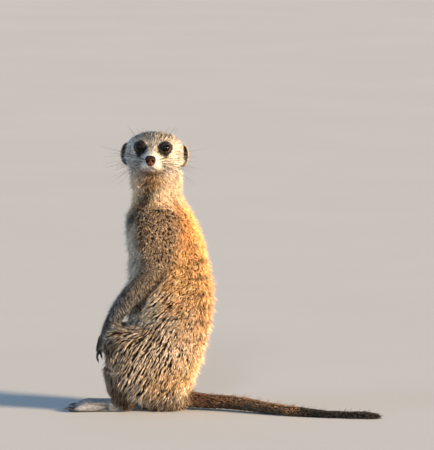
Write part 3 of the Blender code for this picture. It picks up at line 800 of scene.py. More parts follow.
def ear_shell(side, rows=26, columns=34):
    """A cupped half disc with a rolled rim and two inner ridges, as a closed shell.

    An angle runs round the disc and a share runs outward, as on the solid: the reach follows
    the angle's cosine, the height its sine, and the cup a parabola of the share. The wall
    thins towards the rim. Ridges are bells of the share on the front wall.
    """
    angle = np.radians(np.linspace(-90, 90, rows))[:, None]
    share = np.linspace(0, 1, columns)[None]
    reach = 10.6 * share * (0.35 + 0.65 * np.cos(angle)) - 2.5
    height = 11.0 * np.sin(angle) * (0.8 + 0.2 * share)
    cup = 5.0 * (share**2 - 0.55 * share) - 1.6 * np.sin(angle) * share - 1.8 * np.sin(angle) ** 2 * share
    rim = bump(share, 0.97, 0.09)
    ridge = 0.9 * bump(share, 0.55 + 0.1 * np.sin(angle), 0.12) * (1 - ramp(np.abs(angle), 0.9, 1.4))
    ridge = ridge + 0.8 * bump(share, 0.28, 0.10) * bump(angle, -0.2, 0.5)
    wall = 1.9 * (1.15 - 0.55 * share)
    front = np.stack([cup - 0.35 + ridge + 0.45 * rim - 0.5 * (1 - rim) * share, reach, height], -1)
    rear = np.stack([cup - 0.35 - wall, reach, height], -1)
    ring = np.concatenate([front, rear[:, ::-1]], axis=1)
    ring[..., 1] *= side
    points = ring.reshape(-1, 3)
    c, s = math.cos(-side * EAR_LEAN), math.sin(-side * EAR_LEAN)
    points = points @ np.array(((c, s, 0), (-s, c, 0), (0, 0, 1))) + EAR_AT * (1, side, 1)
    points, ends = capped(points, 2 * columns)
    faces = grid_faces(rows, 2 * columns)
    outward = np.concatenate([share[0], share[0, ::-1]])
    inner = np.repeat((1.0, 0.0), columns)
    outward, inner = (np.concatenate([np.tile(row, rows), [0, 0]]) for row in (outward, inner))
    return (from_head(points), faces[:, ::-side], ends[:, ::-side]), ear_colours(outward, inner)


def ear_colours(outward, inner):
    """(root, tip) by the share outward: dark inside, sand behind, and a cream rim."""
    _, sand, cream, _, brown, dark, _ = palette()
    tip = blend(dark * 2.2, brown * 1.1, ramp(outward, 0.3, 0.8) * inner)
    tip = blend(tip, sand * 0.6, (1 - inner) * 0.5)
    rim = ramp(outward, 0.80, 0.92)
    return blend(dark * 1.4, sand * 0.5, rim), blend(tip, cream, rim)


def coat_by_place(points, kinds):
    """Length, crowding and lift against the table's, and how combed the coat is, by place.

    The head's coat is short on the muzzle and round the eyes, long on the cheeks, and lies down
    behind the head. The body's is short, dense and upright on the shoulders and back, upright
    down the chest's front, longest on the haunches, dense over the knees and flat by the hands.
    """
    forward, left, up = to_head(points).T
    x, y, z = (points / MM).T
    face, thigh, forearm = (kinds[:, KINDS.index(name)] for name in ("face", "thigh", "forearm"))
    behind = ramp(-forward, 4, 16)
    near_eye = 1 - ramp(np.linalg.norm(eye_places(points), axis=0), 6.5, 12)
    head = 1 + 0.6 * ramp(-forward, -12, 2) * ramp(-up, -8, 4) * (1 - 0.6 * behind)
    head = head * (1 + 0.15 * ramp(np.abs(left), 18, 23) * ramp(forward, -10, -4))
    head = head * (1 - 0.5 * ramp(forward, 22, 38)) * (1 - 0.62 * near_eye)
    high, back, chest = ramp(z, 115, 160), ramp(y, -2, 24), ramp(-y, 22, 34) * ramp(z, 110, 130)
    body = (1 - 0.36 * high) * (1 - 0.15 * back) * (1 + 0.35 * bump(z, 100, 14) * ramp(-y, 18, 32))
    body = body * (1 + 0.8 * bump(y, -25, 11) * ramp(-z, -34, -16) * ramp(-np.abs(x), -36, -30))
    knee = np.linalg.norm((np.stack([np.abs(x), y, z], 1) - (30, -46, 78)) / (16, 13, 11), axis=1)
    on_knee = 1 - ramp(knee, 0.6, 1.3)
    by_hand = thigh * ramp(-y, 46, 56)
    length = (body * (1 - face) + head * face) * (1 + 0.1 * on_knee) * (1 - 0.3 * by_hand)
    crowding = (1 + 0.5 * high * (1 - face)) * (1 + 1.1 * on_knee)
    lift = 1 + (0.6 * back * (0.4 + 0.6 * high) + 0.4 * high + 0.6 * chest) * (1 - face)
    lift = lift + 0.3 * face * ramp(head, 1.1, 1.3) * (1 - behind)
    upright = np.maximum(np.maximum(ramp(z, 100, 150), 0.8 * back), chest)
    comb = 1 - (upright * (1 - face) + 0.5 * face)
    return length, crowding, lift * (1 - 0.6 * by_hand), comb * (1 - forearm * 0.5)


def lie_of_coat(points, names):
    """Which way the coat lies at every point: down the body, back over the head, along each
    limb, and towards the tip of the tail. Flanks and haunches sweep down and forward."""
    x, y, z = (points / MM).T
    side, zero = np.sign(x), np.zeros(len(points))

    def flow(outward, back, up):
        return np.stack([side * outward + zero, back + zero, up + zero], 1)

    flank = ramp(np.abs(x), 10, 24)
    trunk = flow(0, -flank * (0.35 + 0.75 * bump(z, 118, 34)) - 0.06, -1)
    trunk = blend(trunk, flow(0.25, -0.15, -1), ramp(-y, 10, 26))
    over = ramp(z, 68, 86) * ramp(-y, 6, 30)
    fan = np.radians(np.interp(z, (180, 205, 228), (0, 50, 66)))
    ahead_of_throat = np.stack([np.sin(fan), -np.cos(fan), zero], 1)
    spoke = unit(np.stack([x - 1, y + 7, zero], 1))
    fanned = spoke - ahead_of_throat * dot(spoke, ahead_of_throat)[:, None]
    here = to_head(points)
    from_ear = here * (0, 1, 1) - EAR_AT * (0, 1, 1) * np.sign(here[:, 1:2])
    ways = {
        "face": lie_on_head(points, here),
        "ear": (unit(from_ear) + (0.3, 0, 0)) @ HEAD_ROWS,
        "neck": fanned * 0.55 + (0, 0, -1),
        "trunk": trunk,
        "upper_arm": flow(0.05, 0.15 - 0.2 * ramp(-z, -175, -150), -1),
        "forearm": flow(-0.1, 0.25, -0.9),
        "hand": flow(0, -0.3, -1),
        "thigh": flow(0.0, -0.55 - 0.35 * over + 0.4 * ramp(-y, 40, 54), -1 + 0.45 * over),
        "shank": flow(-0.2, -0.1, -1),
        "foot": flow(0.05, -1, -0.25),
        "tail": along_path(points / MM, PIECES["coat_tail"][4])[2],
    }
    kinds = np.array([kind_of(name) for name in names])
    found = np.zeros((len(points), 3))
    for name, way in ways.items():
        found = np.where((kinds == name)[:, None], unit(way), found)
    return found


def lie_on_head(points, here):
    """Away from the nose and the eyes, sideways before the ears, and down behind the head."""
    away = here - (53, 0, -1)
    away[:, 2] -= 45 * ramp(-here[:, 0], -4, 18)
    left = np.sign(here[:, 1])
    sideways = np.stack([np.full(len(here), 0.45), 0.9 * left, np.full(len(here), -0.12)], 1)
    before_ear = ramp(np.abs(here[:, 1]), 19, 25) * ramp(here[:, 0], -6, 0) * bump(here[:, 2], 0, 13)
    across, above, ahead = eye_places(points)
    from_eye = np.stack([ahead, across * left, above], 1)
    near_eye = 1 - ramp(np.linalg.norm(from_eye, axis=1), 6.5, 10.5)
    return (blend(unit(away), sideways, before_ear) + unit(from_eye) * 1.3 * near_eye[:, None]) @ HEAD_ROWS


def finer(mesh):
    """Cuts the faces small round the eyes, on the mouth's line and on the paws."""
    eyes = [from_head(EYE_AT * (1, side, 1)) for side in SIDES.values()]
    paws = [claw_middles(kind, label).mean(0) * MM for kind in ("finger", "toe") for label in SIDES]

    def within(reach, centres):
        return lambda p: np.min([np.linalg.norm(p - at, axis=1) for at in centres], axis=0) < reach * MM

    refined(mesh, within(8.5, eyes))
    refined(mesh, within(7.2, eyes))
    refined(mesh, lambda p: mouth_nearness(p, 2.6) > 0.37)
    refined(mesh, within(17, paws))


def filled(points, normals, forward, kinds, ends):
    """Fills the creases round the haunches, low on the trunk and at the nape, and rounds the
    back of the head, each towards a surface that is evened far more."""
    z = points[:, 2]
    creased = kinds[:, [KINDS.index(k) for k in ("thigh", "shank")]].sum(1)
    creased = np.maximum(creased, kinds[:, KINDS.index("trunk")] * ramp(-z, -0.115, -0.09))
    nape = 1.6 * ramp(-forward, 0, 8) * bump(z, 0.234, 0.014)
    creased = np.maximum(creased * ramp(z, 0.002, 0.008), nape)
    creased = evened(creased[:, None], ends, 12)[:, 0]
    broad = evened(points, ends, 320)
    gap = np.maximum(dot(broad - points, normals), 0)
    points = points + normals * evened((gap * creased)[:, None], ends, 4)
    occiput = evened((ramp(-forward, 4, 16) * ramp(points[:, 2], 0.238, 0.250))[:, None], ends, 8)
    return points + 0.55 * occiput * (broad - points)


def faces_of(mesh, size):
    """The corners of every face that has this many."""
    chosen = [face.vertices[:] for face in mesh.polygons if len(face.vertices) == size]
    return np.array(chosen, np.int32).reshape(-1, size)


def make_skin():
    """Fuses the flesh, sinks it by the coat's depth, opens the eyes and mouth, adds the ears."""
    mesh = fused_flesh(SWELL * MM, VOXEL * MM, 12)
    finer(mesh)
    points, ends = vertex_places(mesh), edge_ends(mesh)
    names = flesh_at(points)
    kinds = np.stack([[kind_of(n) == kind for n in names] for kind in KINDS], 1).astype(float)
    kinds = evened(kinds, ends, 14)
    way = evened(lie_of_coat(points, names), ends, 14)
    forward = to_head(points)[:, 0]
    depth = kinds @ np.array(DEPTH) * (1 - 0.55 * ramp(forward, 24, 40) * (points[:, 2] > 0.236))
    normals = unit(evened(vertex_normals(mesh), ends, 3))
    points = evened(points - normals * (depth[:, None] + SWELL) * MM, ends, 1)
    points = filled(points, normals, forward, kinds, ends)
    points = sunk_under_nose(sculpt_lids(points))
    place_vertices(mesh, points)
    points = points - vertex_normals(mesh) * (CLEFT_DEPTH * MM) * clefts(points)[:, None]
    place_vertices(mesh, points)
    points = points - vertex_normals(mesh) * (MOUTH_DEPTH * MM) * mouth_nearness(points, 0.9)[:, None]
    points[:, 2] = np.maximum(points[:, 2], SKIN_LOW)

    # The ears join the same surface.
    shells, paint = zip(*(ear_shell(side) for side in SIDES.values()))
    points, *faces = gathered([(points, faces_of(mesh, 4), faces_of(mesh, 3)), *shells])
    item = mesh_object("skin", points, faces)
    bpy.data.meshes.remove(mesh)
    ears = points[len(kinds) :]
    ear_kinds = np.tile(np.array(KINDS) == "ear", (len(ears), 1)).astype(float)
    ear_names = np.where(ears[:, 1] > -0.010, "ear_right", "ear_left")
    root, tip, pointed = markings(points, np.vstack([evened(kinds, ends, 70), ear_kinds]))
    root[-len(ears) :], tip[-len(ears) :] = (np.vstack(part) for part in zip(*paint))
    kinds = np.vstack([kinds, ear_kinds])
    length, crowding, lift, comb = coat_by_place(points, kinds)
    crown = kinds[:, KINDS.index("face")] * (1 - 0.7 * ramp(-to_head(points)[:, 2], -8, 4))
    nodes = list(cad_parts)
    kept = {
        "root_colour": root,
        "tip_colour": tip,
        "pointed": pointed,
        "short": kinds @ np.array([1.0 if depth < 1.4 else 0.35 for depth in DEPTH]),
        "way": unit(np.vstack([way, lie_of_coat(ears, ear_names)])),
        "comb": comb,
        "loose": 1 - 0.8 * crown - 0.7 * kinds[:, KINDS.index("tail")],
        "length": kinds @ np.array(LENGTH) * length,
        "width": kinds @ np.array(WIDTH),
        "crowding": kinds @ np.array(CROWDING) * crowding,
        "lift": kinds @ np.array(LIFT) * lift,
        "owner": np.array([nodes.index(n) for n in (*names, *ear_names)], float),
    }
    for name, values in kept.items():
        store(item.data, name, values)
    return item


# ---- coat ------------------------------------------------------------------------------------


def strands(spine, across, outward, width):
    """Closed three-sided strands, as (points, triangles) in whole arrays.

    Each ring stands round its place on the spine: half a width along across times the cosine
    of 0, 120 and 240 degrees, and along outward times the sine. The last place is the tip.
    """
    count, rings = spine.shape[0], spine.shape[1] - 1
    turn = np.radians((90, 210, 330))
    half = width[:, :, None, None] / 2
    ring = half * (np.cos(turn)[None, None, :, None] * across[:, None, None])
    ring = ring + half * 0.75 * (np.sin(turn)[None, None, :, None] * outward[:, None, None])
    ring = ring + spine[:, :-1, None]
    points = np.concatenate([ring.reshape(count, -1, 3), spine[:, -1:]], axis=1)
    local = [(2, 1, 0)]
    for r in range(rings - 1):
        for s in range(3):
            a, b = 3 * r + s, 3 * r + (s + 1) % 3
            local += [(a, b, b + 3), (a, b + 3, a + 3)]
    last = 3 * (rings - 1)
    local += [(last + s, last + (s + 1) % 3, last + 3) for s in range(3)]
    local = np.array(local, np.int32)
    step = 3 * rings + 1
    triangles = (local[None] + np.arange(count, dtype=np.int32)[:, None, None] * step).reshape(-1, 3)
    return points.reshape(-1, 3), triangles


def patch_map(mesh, centres, rings, size=0.003):
    """The bake's map: each strand is a patch at its root's place on the unwrapped skin.

    A strand's three sides stand next to each other in the patch, root at the bottom and tip at
    the top, and its hidden end is a sliver under them.
    """
    layer = mesh.uv_layers.new(name="OFBake")
    local = [(0.0, 0.0), (0.4, 0.0), (0.2, -0.08)]
    for r in range(rings - 1):
        for s in range(3):
            left, right, low, high = s / 3, (s + 1) / 3, r / rings, (r + 1) / rings
            local += [(left, low), (right, low), (right, high), (left, low), (right, high), (left, high)]
    low = (rings - 1) / rings
    for s in range(3):
        local += [(s / 3, low), ((s + 1) / 3, low), ((s + 0.5) / 3, 1.0)]
    local = (np.array(local) - 0.5) * size
    places = centres[:, None] + local[None]
    layer.data.foreach_set("uv", places.astype(np.float32).ravel())


def unwrapped(roots, axis):
    """Round and along the piece's axis: the angle about it, and the place on it, from 0 to 1."""
    points = roots / MM
    along, _, way = along_path(points, axis)
    path = np.array(axis, float)
    length = np.linalg.norm(np.diff(path, axis=0), axis=1)
    reached = np.concatenate([[0], np.cumsum(length)]) / length.sum()
    centre = np.stack([np.interp(along, reached, path[:, i]) for i in range(3)], 1)
    away = points - centre
    overshoot = dot(away, way)
    along = along + overshoot / length.sum()
    level = np.array((1.0, 0, 0)) if abs(way[0, 2]) > 0.7 else np.array((0, 0, 1.0))
    beside = unit(level - way * dot(way, level)[:, None])
    round_it = np.arctan2(dot(away, np.cross(way, beside)), dot(away, beside)) / (2 * math.pi) + 0.5
    low, high = along.min(), along.max()
    return np.stack([0.01 + 0.98 * round_it, 0.01 + 0.98 * (along - low) / (high - low)], 1)


def skin_triangles(mesh):
    mesh.calc_loop_triangles()
    corners = np.empty(len(mesh.loop_triangles) * 3, np.int32)
    mesh.loop_triangles.foreach_get("vertices", corners)
    return corners.reshape(-1, 3)


def root_sampler(mesh, mine, count, rng):
    """A function that reads any of the skin's values at count roots on its faces of mine.

    The roots stand at even steps along the running sum of area times crowding.
    """
    points, corners = vertex_places(mesh), skin_triangles(mesh)
    corners = corners[mine[corners[:, 0]]]
    a, b, c = (points[corners[:, i]] for i in range(3))
    area = np.linalg.norm(np.cross(b - a, c - a), axis=1) * stored(mesh, "crowding")[corners[:, 0]]
    area *= hair_share((a + b + c) / 3)
    running = np.cumsum(area)
    pick = np.searchsorted(running, (np.arange(count) + rng.random(count)) / count * running[-1])
    pick = corners[np.minimum(pick, len(corners) - 1)]
    u, v = np.sqrt(rng.random(count)), rng.random(count)
    weights = np.stack([1 - u, u * (1 - v), u * v], 1)[..., None]

    def at_root(values):
        if isinstance(values, str):
            values = stored(mesh, values, 3 if values in ("way", "root_colour", "tip_colour") else 1)
        found = (values[pick].reshape(count, 3, -1) * weights).sum(1)
        return found[:, 0] if values.ndim == 1 else found

    return at_root


def coat_piece(name, skin, fur, seed):
    """One piece of the coat: tufts rooted evenly over its part of the skin, gathered in locks.

    Locks are places drawn out along the coat. A tuft belongs to the lock that its outer part
    lies over, and is drawn to that lock's middle line. The tufts that lie by a lock's edges are
    the undercoat: shorter, flatter and dark, partly the coat's own dark underfur and partly
    painted shade, they show between the locks. The more the coat is combed, the larger, longer
    and more even are its locks.
    """
    starts, side, count, joints, axis = PIECES[name]
    settings = bpy.context.scene.meerkat_coat
    count = int(count * settings.fullness * (1))
    rng = np.random.default_rng(seed)
    mesh = skin.data
    points = vertex_places(mesh)
    mine = np.array([n.startswith(starts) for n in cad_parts])[stored(mesh, "owner").astype(int)]
    if side:
        mine &= points[:, 0] * side >= 0
    at_root = root_sampler(mesh, mine, count, rng)
    roots, normal = at_root(points), unit(at_root(vertex_normals(mesh)))
    way = at_root("way")
    way = unit(way - normal * dot(way, normal)[:, None])
    across = np.cross(normal, way)
    lift, grizzled, comb = np.radians(at_root("lift")), at_root("pointed"), at_root("comb")

    turn = rng.normal(0, 0.32 - 0.2 * comb, count) + 0.18 * waves(roots / MM, 22, 11)
    heading = way * np.cos(turn)[:, None] + across * np.sin(turn)[:, None]
    length = at_root("length") * rng.uniform(0.8, 1.15, count) * settings.length * MM
    seen = roots + heading * ((0.85 - 0.15 * comb) * length)[:, None]
    share = 1 / (settings.lock_size * (0.26 + 0.74 * comb))
    chance = share * length**-1.2
    centres = seen[rng.choice(count, int(share.sum()), replace=False, p=chance / chance.sum())]
    lock = nearest(seen / MM, centres / MM, way, 0.5 - 0.28 * comb)

    beside = np.abs(dot(seen - centres[lock], across))
    usual = np.sqrt(np.bincount(lock, beside**2) / np.bincount(lock))[lock]
    edge = 1.73 * (1 - settings.undercoat * grizzled * (0.70 + 0.30 * comb))
    under = beside > (edge + rng.normal(0, 1, count) * (1.0 - 0.72 * comb)) * usual
    under |= rng.random(len(centres))[lock] < (0.20 - 0.19 * comb) * ramp(grizzled, 0.4, 0.8)
    under &= grizzled > 0.1
    lock_turn = rng.normal(0, 1, len(centres))[lock] * (0.30 - 0.18 * comb)
    heading = unit(heading + across * lock_turn[:, None])
    lock_tone = rng.random(len(centres))[lock]
    lock_lift = 1 + rng.uniform(-0.35, 0.4, len(centres))[lock] * (0.4 + 0.6 * grizzled)
    lift = lift * np.where(under, 0.5, lock_lift * rng.uniform(0.85, 1.15, count))
    stray = rng.random(count) < settings.strays * (1.5 - comb) * at_root("loose")
    under &= ~stray
    lift = np.where(stray, lift + np.radians(rng.uniform(15, 50, count)), lift)
    length = length * np.where(under, 0.85, np.where(stray, 1.35 - 0.15 * comb, 1))

    def along(distance, angle):
        return roots + distance * (heading * np.cos(angle)[:, None] + normal * np.sin(angle)[:, None])

    middle, tip = along(length[:, None] * 0.52, lift + 0.16), along(length[:, None], lift)
    sideways = np.cross(normal, heading)
    gap = centres[lock] - tip
    pull = dot(gap, sideways)[:, None] * sideways
    pull = pull + (dot(gap, heading) * 0.55 * (1 - comb))[:, None] * heading
    pull = pull * np.where(under, 0, settings.gather * np.where(stray, 0.6, 0.65 + 0.35 * comb))[:, None]
    tip, middle = tip + pull, middle + 0.5 * pull
    for place in (tip, middle):
        place[:, 2] = np.maximum(place[:, 2], COAT_LOW)
    spine = np.stack([roots - normal * ROOT_DEPTH * MM, middle, tip][:: 3 - joints], 1)
    width = at_root("width") * MM * rng.uniform(0.75, 1.2, count) * np.where(stray, 1.1 - 0.4 * comb, 1)
    widths = np.stack([width * 0.8, width][-joints:], 1)
    flat = unit(sideways)
    places, triangles = strands(spine, flat, unit(np.cross(heading, flat)), widths)

    item = mesh_object(name, places, triangles)
    per = 3 * joints + 1
    # Partly painted shade: the undercoat gets tone 0 and is drawn darkest.
    tone = np.where(under, 0, 0.25 + 0.5 * lock_tone + 0.25 * rng.random(count))
    store(item.data, "along", np.tile([*np.repeat(np.arange(joints) / joints, 3), 1.0], count))
    store(item.data, "tone", np.repeat(tone, per))
    for label in ("root_colour", "tip_colour", "pointed"):
        store(item.data, label, np.repeat(at_root(label), per, axis=0))
    patch_map(item.data, unwrapped(roots, axis), joints)
    return dressed(item, fur, "coat")


def thin(skin):
    """Collapses the skin's flattest edges, under the finished coat, down to SKIN_TRIANGLES."""
    skin.data.calc_loop_triangles()
    collapse = skin.modifiers.new("thin", "DECIMATE")
    collapse.ratio = min(1.0, SKIN_TRIANGLES / len(skin.data.loop_triangles))
    graph = bpy.context.evaluated_depsgraph_get()
    mesh = bpy.data.meshes.new_from_object(
        skin.evaluated_get(graph), preserve_all_data_layers=True, depsgraph=graph
    )
    skin.modifiers.clear()
    full, skin.data = skin.data, mesh
    bpy.data.meshes.remove(full)
    mesh.name = "skin"


def hair_share(points):
    """Crowding by place: none in the eyes' openings, the nostrils and the mouth's line."""
    gap = np.linalg.norm(eye_places(points), axis=0)
    nose = np.linalg.norm((to_head(points) - NOSE_AT) / (NOSE_HALF + 0.5), axis=1)
    open_eye = (gap > EYE_RADIUS + 0.45) | (points[:, 2] < 0.24)
    return open_eye * (nose > 1.0) * (1 - 0.8 * mouth_nearness(points, 0.8))


# ---- eyes, nose, claws, whiskers -------------------------------------------------------------


def make_eye(label, rows=40, columns=48):
    """A ball with a shallow bulge at its front: radius R + 0.35 bump(angle, 0, 34 degrees)."""
    side = SIDES[label]
    angle, turn = np.linspace(0.02, math.pi - 0.02, rows)[:, None], full_turn(columns)
    radius = EYE_RADIUS + 0.35 * bump(np.degrees(angle), 0, 34)
    ahead, beside, above = gaze_axes(side)
    points = (
        (radius * np.cos(angle) + 0 * turn)[..., None] * ahead
        + (radius * np.sin(angle) * np.cos(turn))[..., None] * beside
        + (radius * np.sin(angle) * np.sin(turn))[..., None] * above
    ).reshape(-1, 3)
    points, ends = capped(points, columns)
    faces = [grid_faces(rows, columns)[:, ::-side], ends[:, ::-side]]
    item = mesh_object("eyeball_" + label, from_head(points + EYE_AT * (1, side, 1)), faces)
    aim = unit(points)
    store(item.data, "off_gaze", np.degrees(np.arccos(np.clip(aim @ ahead, -1, 1))))
    store(item.data, "off_level", np.degrees(np.arcsin(np.clip(aim @ above, -1, 1))))
    store(item.data, "off_side", np.degrees(np.arcsin(np.clip(aim @ beside, -1, 1))))
    store(item.data, "heading", np.arctan2(aim @ above, aim @ beside))
    return item


def eye_material():
    """A black pupil, a dark iris with fine spokes that painted light makes amber low and outward, and a dark
    ring.
    """
    face = bpy.context.scene.meerkat_face
    wet = {"Specular IOR Level": 0.15, "Coat Weight": 0.1, "Coat Roughness": 0.03}
    made, sums, feed = material("eye", 0.06, wet)
    angle, level, aside = (sums.attribute(name) for name in ("off_gaze", "off_level", "off_side"))
    round_gaze = {"W": sums.attribute("heading"), "Scale": 9.0}
    spokes = sums.node("ShaderNodeTexNoise", {"noise_dimensions": "1D"}, round_gaze)
    iris = sums.mix((*face.iris, 1), (*[c * 0.5 for c in face.iris], 1), spokes.step(0.35, 0.7))
    # Painted light: the iris is drawn near black, and amber only where a glow of warm light is painted, low
    # and outward.
    painted_glow = angle.step(face.pupil + 3, 44.0) * (aside - level).step(16.0, 56.0)
    iris = sums.mix((*[c * 0.02 for c in face.iris], 1), iris, painted_glow)
    colour = sums.mix((0.0015, 0.0012, 0.0012, 1), iris, angle.step(face.pupil - 2, face.pupil + 3))
    feed("Base Color", sums.mix(colour, (0.005, 0.003, 0.003, 1), angle.step(48.0, 53.0)))
    return made


def make_nose(rows=44, columns=56):
    """The nose pad: a squared ball with two nostrils and a groove, in the head's frame.

    The nostrils are bells pressed in beside the middle line, each drawn out into a slit that
    curls back, and the groove is a narrow bell on the middle line below.
    """
    angle, turn = np.linspace(0.03, math.pi - 0.03, rows)[:, None], full_turn(columns)
    c, s = np.cos(turn), np.sin(turn)
    square = 2 / 2.5
    ahead = np.cos(angle) + 0 * turn
    left = np.sin(angle) * np.sign(c) * np.abs(c) ** square
    up = np.sin(angle) * np.sign(s) * np.abs(s) ** square
    wide = 0.94 + 0.30 * up - 0.10 * up**2
    shape = np.stack([ahead * NOSE_HALF[0], left * NOSE_HALF[1] * wide, up * NOSE_HALF[2]], -1)
    side, height = np.abs(shape[..., 1]), shape[..., 2]
    hole = np.exp(-(((side - 2.3) / 1.15) ** 2) - ((height + 0.1) / 1.25) ** 2)
    slit = np.exp(-(((side - 3.9) / 1.3) ** 2) - ((height + 1.3 + 0.25 * (side - 3.9)) / 0.55) ** 2)
    groove = np.exp(-((side / 0.45) ** 2)) * ramp(-height, -1.5, 1.0)
    shape[..., 0] -= (3.2 * hole + 2.0 * slit + 0.9 * groove) * ramp(ahead, 0.0, 0.3)
    shape[..., 1] *= 1 - 0.10 * hole
    points, ends = capped(shape.reshape(-1, 3) + NOSE_AT, columns)
    faces = [grid_faces(rows, columns)[:, ::-1], ends[:, ::-1]]
    item = mesh_object("nose_pad", from_head(points), faces)
    hollow = np.concatenate([(hole + slit).ravel(), [0, 0]])
    store(item.data, "hollow", np.clip(hollow, 0, 1))
    store(item.data, "low", 0.5 - 0.5 * np.concatenate([up.ravel(), [0, 0]]))
    return item


def nose_material():
    """Moist leather in small cells: reddish low down as painted warm light, near black above as painted
    shade, and near black in the nostrils as painted shade.
    """
    face = bpy.context.scene.meerkat_face
    made, sums, feed = material("nose_leather", 0.4, {"Specular IOR Level": 0.18})
    spaced = {"Vector": sums.place(), "Scale": 1700.0}
    edge = sums.node("ShaderNodeTexVoronoi", {"feature": "DISTANCE_TO_EDGE"}, spaced).step(0.0, 0.12)
    low = sums.attribute("low")
    # Painted light and shade: reddish low down where the warm key falls, near black above.
    lit = sums.mix((*[c * 0.12 for c in face.nose], 1), (*face.nose, 1), low.step(0.15, 0.75))
    colour = sums.mix((0.010, 0.006, 0.005, 1), lit, 0.3 + 0.7 * edge)
    # Painted shade in the nostrils.
    colour = sums.mix(colour, (0.004, 0.003, 0.003, 1), sums.attribute("hollow").step(0.25, 0.8))
    feed("Base Color", colour)
    feed("Roughness", 0.62 - 0.12 * edge)
    feed("Normal", sums.raised(edge, 0.5, 0.00015))
    return made


def claw(low, high, ahead, rows=14, columns=12):
    """A curved claw in its solid's box: a tapering tube round a bent path, pointed at the end.

    ahead is for toes, whose path runs forward along the floor and bends down. A finger's runs
    down, bowed forward. The half width falls as (1 - share)^0.6, and the section is taller
    than it is wide.
    """
    share, turn = np.linspace(0, 1, rows)[:, None], full_turn(columns)
    wide = (high[0] - low[0]) / 2 * 0.92
    fall = np.maximum(1 - share, 0.0) ** 0.6
    across = (low[0] + high[0]) / 2 + wide * fall * np.cos(turn)
    if ahead:
        arch = (high[2] - low[2]) * (0.62 + 0.25 * np.sin(math.pi * share * 0.8) - 0.75 * share**2)
        path = low[2] + np.maximum(arch, 0.1 * wide)
        tall = path + 1.25 * wide * fall * np.sin(turn) * (1 - 0.45 * share)
        points = np.stack([across, high[1] + (low[1] - high[1]) * share + 0 * turn, tall], -1)
    else:
        bow = 0.35 - 0.95 * np.sin(math.pi * share) + 0.55 * share
        path = (low[1] + high[1]) / 2 + (high[1] - low[1]) / 2 * bow
        tall = path + 1.6 * wide * fall * np.sin(turn)
        points = np.stack([across, tall, high[2] + (low[2] - high[2]) * share + 0 * turn], -1)
    points = points.reshape(-1, 3)
    points[:, 2] = np.maximum(points[:, 2], CLAW_LOW)
    points, ends = capped(points, columns)
    return points, grid_faces(rows, columns), ends


def make_claws(kind, label):
    """The four claws of one paw as one piece, and the nodes that it stands for."""
    nodes = [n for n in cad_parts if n.startswith(f"{kind}_claw_{label}")]
    boxes = [[np.array(corner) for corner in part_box(node)] for node in nodes]
    points, *faces = gathered([claw(low, high, kind == "toe") for low, high in boxes])
    item = mesh_object(f"{kind}_claws_{label}", points, faces)
    shape = bmesh.new()
    shape.from_mesh(item.data)
    bmesh.ops.remove_doubles(shape, verts=shape.verts, dist=1e-6)
    bmesh.ops.recalc_face_normals(shape, faces=shape.faces)
    shape.to_mesh(item.data)
    shape.free()
    return item, nodes


def claw_material():
    """Dark horn, mottled by fine noise in its colour, its roughness and its bumps."""
    made, sums, feed = material("claw_horn", 0.35, {"Specular IOR Level": 0.5})
    grain = sums.noise(700.0, 3.0)
    colour = sums.mix((0.012, 0.010, 0.009, 1), (0.07, 0.055, 0.045, 1), grain.step(0.35, 0.75))
    feed("Base Color", colour)
    feed("Roughness", 0.28 + 0.25 * grain)
    feed("Normal", sums.raised(grain, 0.2, 0.0001))
    return made


def whisker_roots(rng):
    """(start, heading, length) of every whisker of the left side, in the head's frame: four
    rows on the lip, then brow, cheek and chin."""
    for tier, up in enumerate((-1.5, -3.6, -5.6, -7.4)):
        for i in range(6):
            start = (41.5 - 2.3 * i - 0.6 * tier, 5.6 + 0.85 * i + 0.3 * tier, up + 0.25 * i)
            rise = 0.28 - 0.22 * tier + rng.normal(0, 0.06)
            yield start, (0.10 - 0.10 * i, 0.9, rise), 29 + 4.2 * i - 2.5 * tier
    for i in range(4):
        start = (20 + 1.6 * i, 8.0 + 2.2 * i, 16.6 - 0.7 * i)
        yield start, (0.15, 0.25 + 0.12 * i, 0.95), 20 + 2 * i
    for i in range(3):
        yield (14 + 2.0 * i, 22.0 - i, -4.0 - 2 * i), (0.05, 0.95, -0.15), 20
    for i in range(2):
        yield (34 - 5 * i, 3.2 + 1.2 * i, -15.4), (0.25, 0.35, -0.85), 9


def make_whiskers(joints=7):
    """Whiskers that leave along their heading and bend: heading * t + droop * t^2, t from 0
    to 1 of their length."""
    rng = np.random.default_rng(61)
    rows = [(*row, side) for side in SIDES.values() for row in whisker_roots(rng)]
    starts, headings, lengths, sides = (np.array(column, float) for column in zip(*rows))
    count, flip = len(rows), np.stack([np.ones_like(sides), sides, np.ones_like(sides)], 1)
    headings = unit(headings + rng.normal(0, 0.05, headings.shape)) * flip
    lengths = lengths * rng.uniform(0.8, 1.15, count) * bpy.context.scene.meerkat_face.whiskers
    droop = np.stack([np.full(count, -0.16), np.zeros(count), rng.uniform(-0.22, -0.06, count)], 1)
    t = np.linspace(0, 1, joints + 1)
    bend = headings[:, None] * t[None, :, None] + droop[:, None] * t[None, :, None] ** 2
    spine = (starts * flip - headings * 1.2)[:, None] + lengths[:, None, None] * bend
    across = unit(np.cross(headings, (0, 0, 1.0)))
    widths = np.full(count, 0.48)[:, None] * np.maximum((1 - t[:-1]) ** 0.7, 0.12)[None]
    points, triangles = strands(spine, across, np.cross(headings, across), widths)
    item = mesh_object("whiskers", from_head(points), triangles[:, ::-1])
    store(item.data, "along", np.tile([*np.repeat(np.arange(joints), 3) / joints, 1.0], count))
    return item


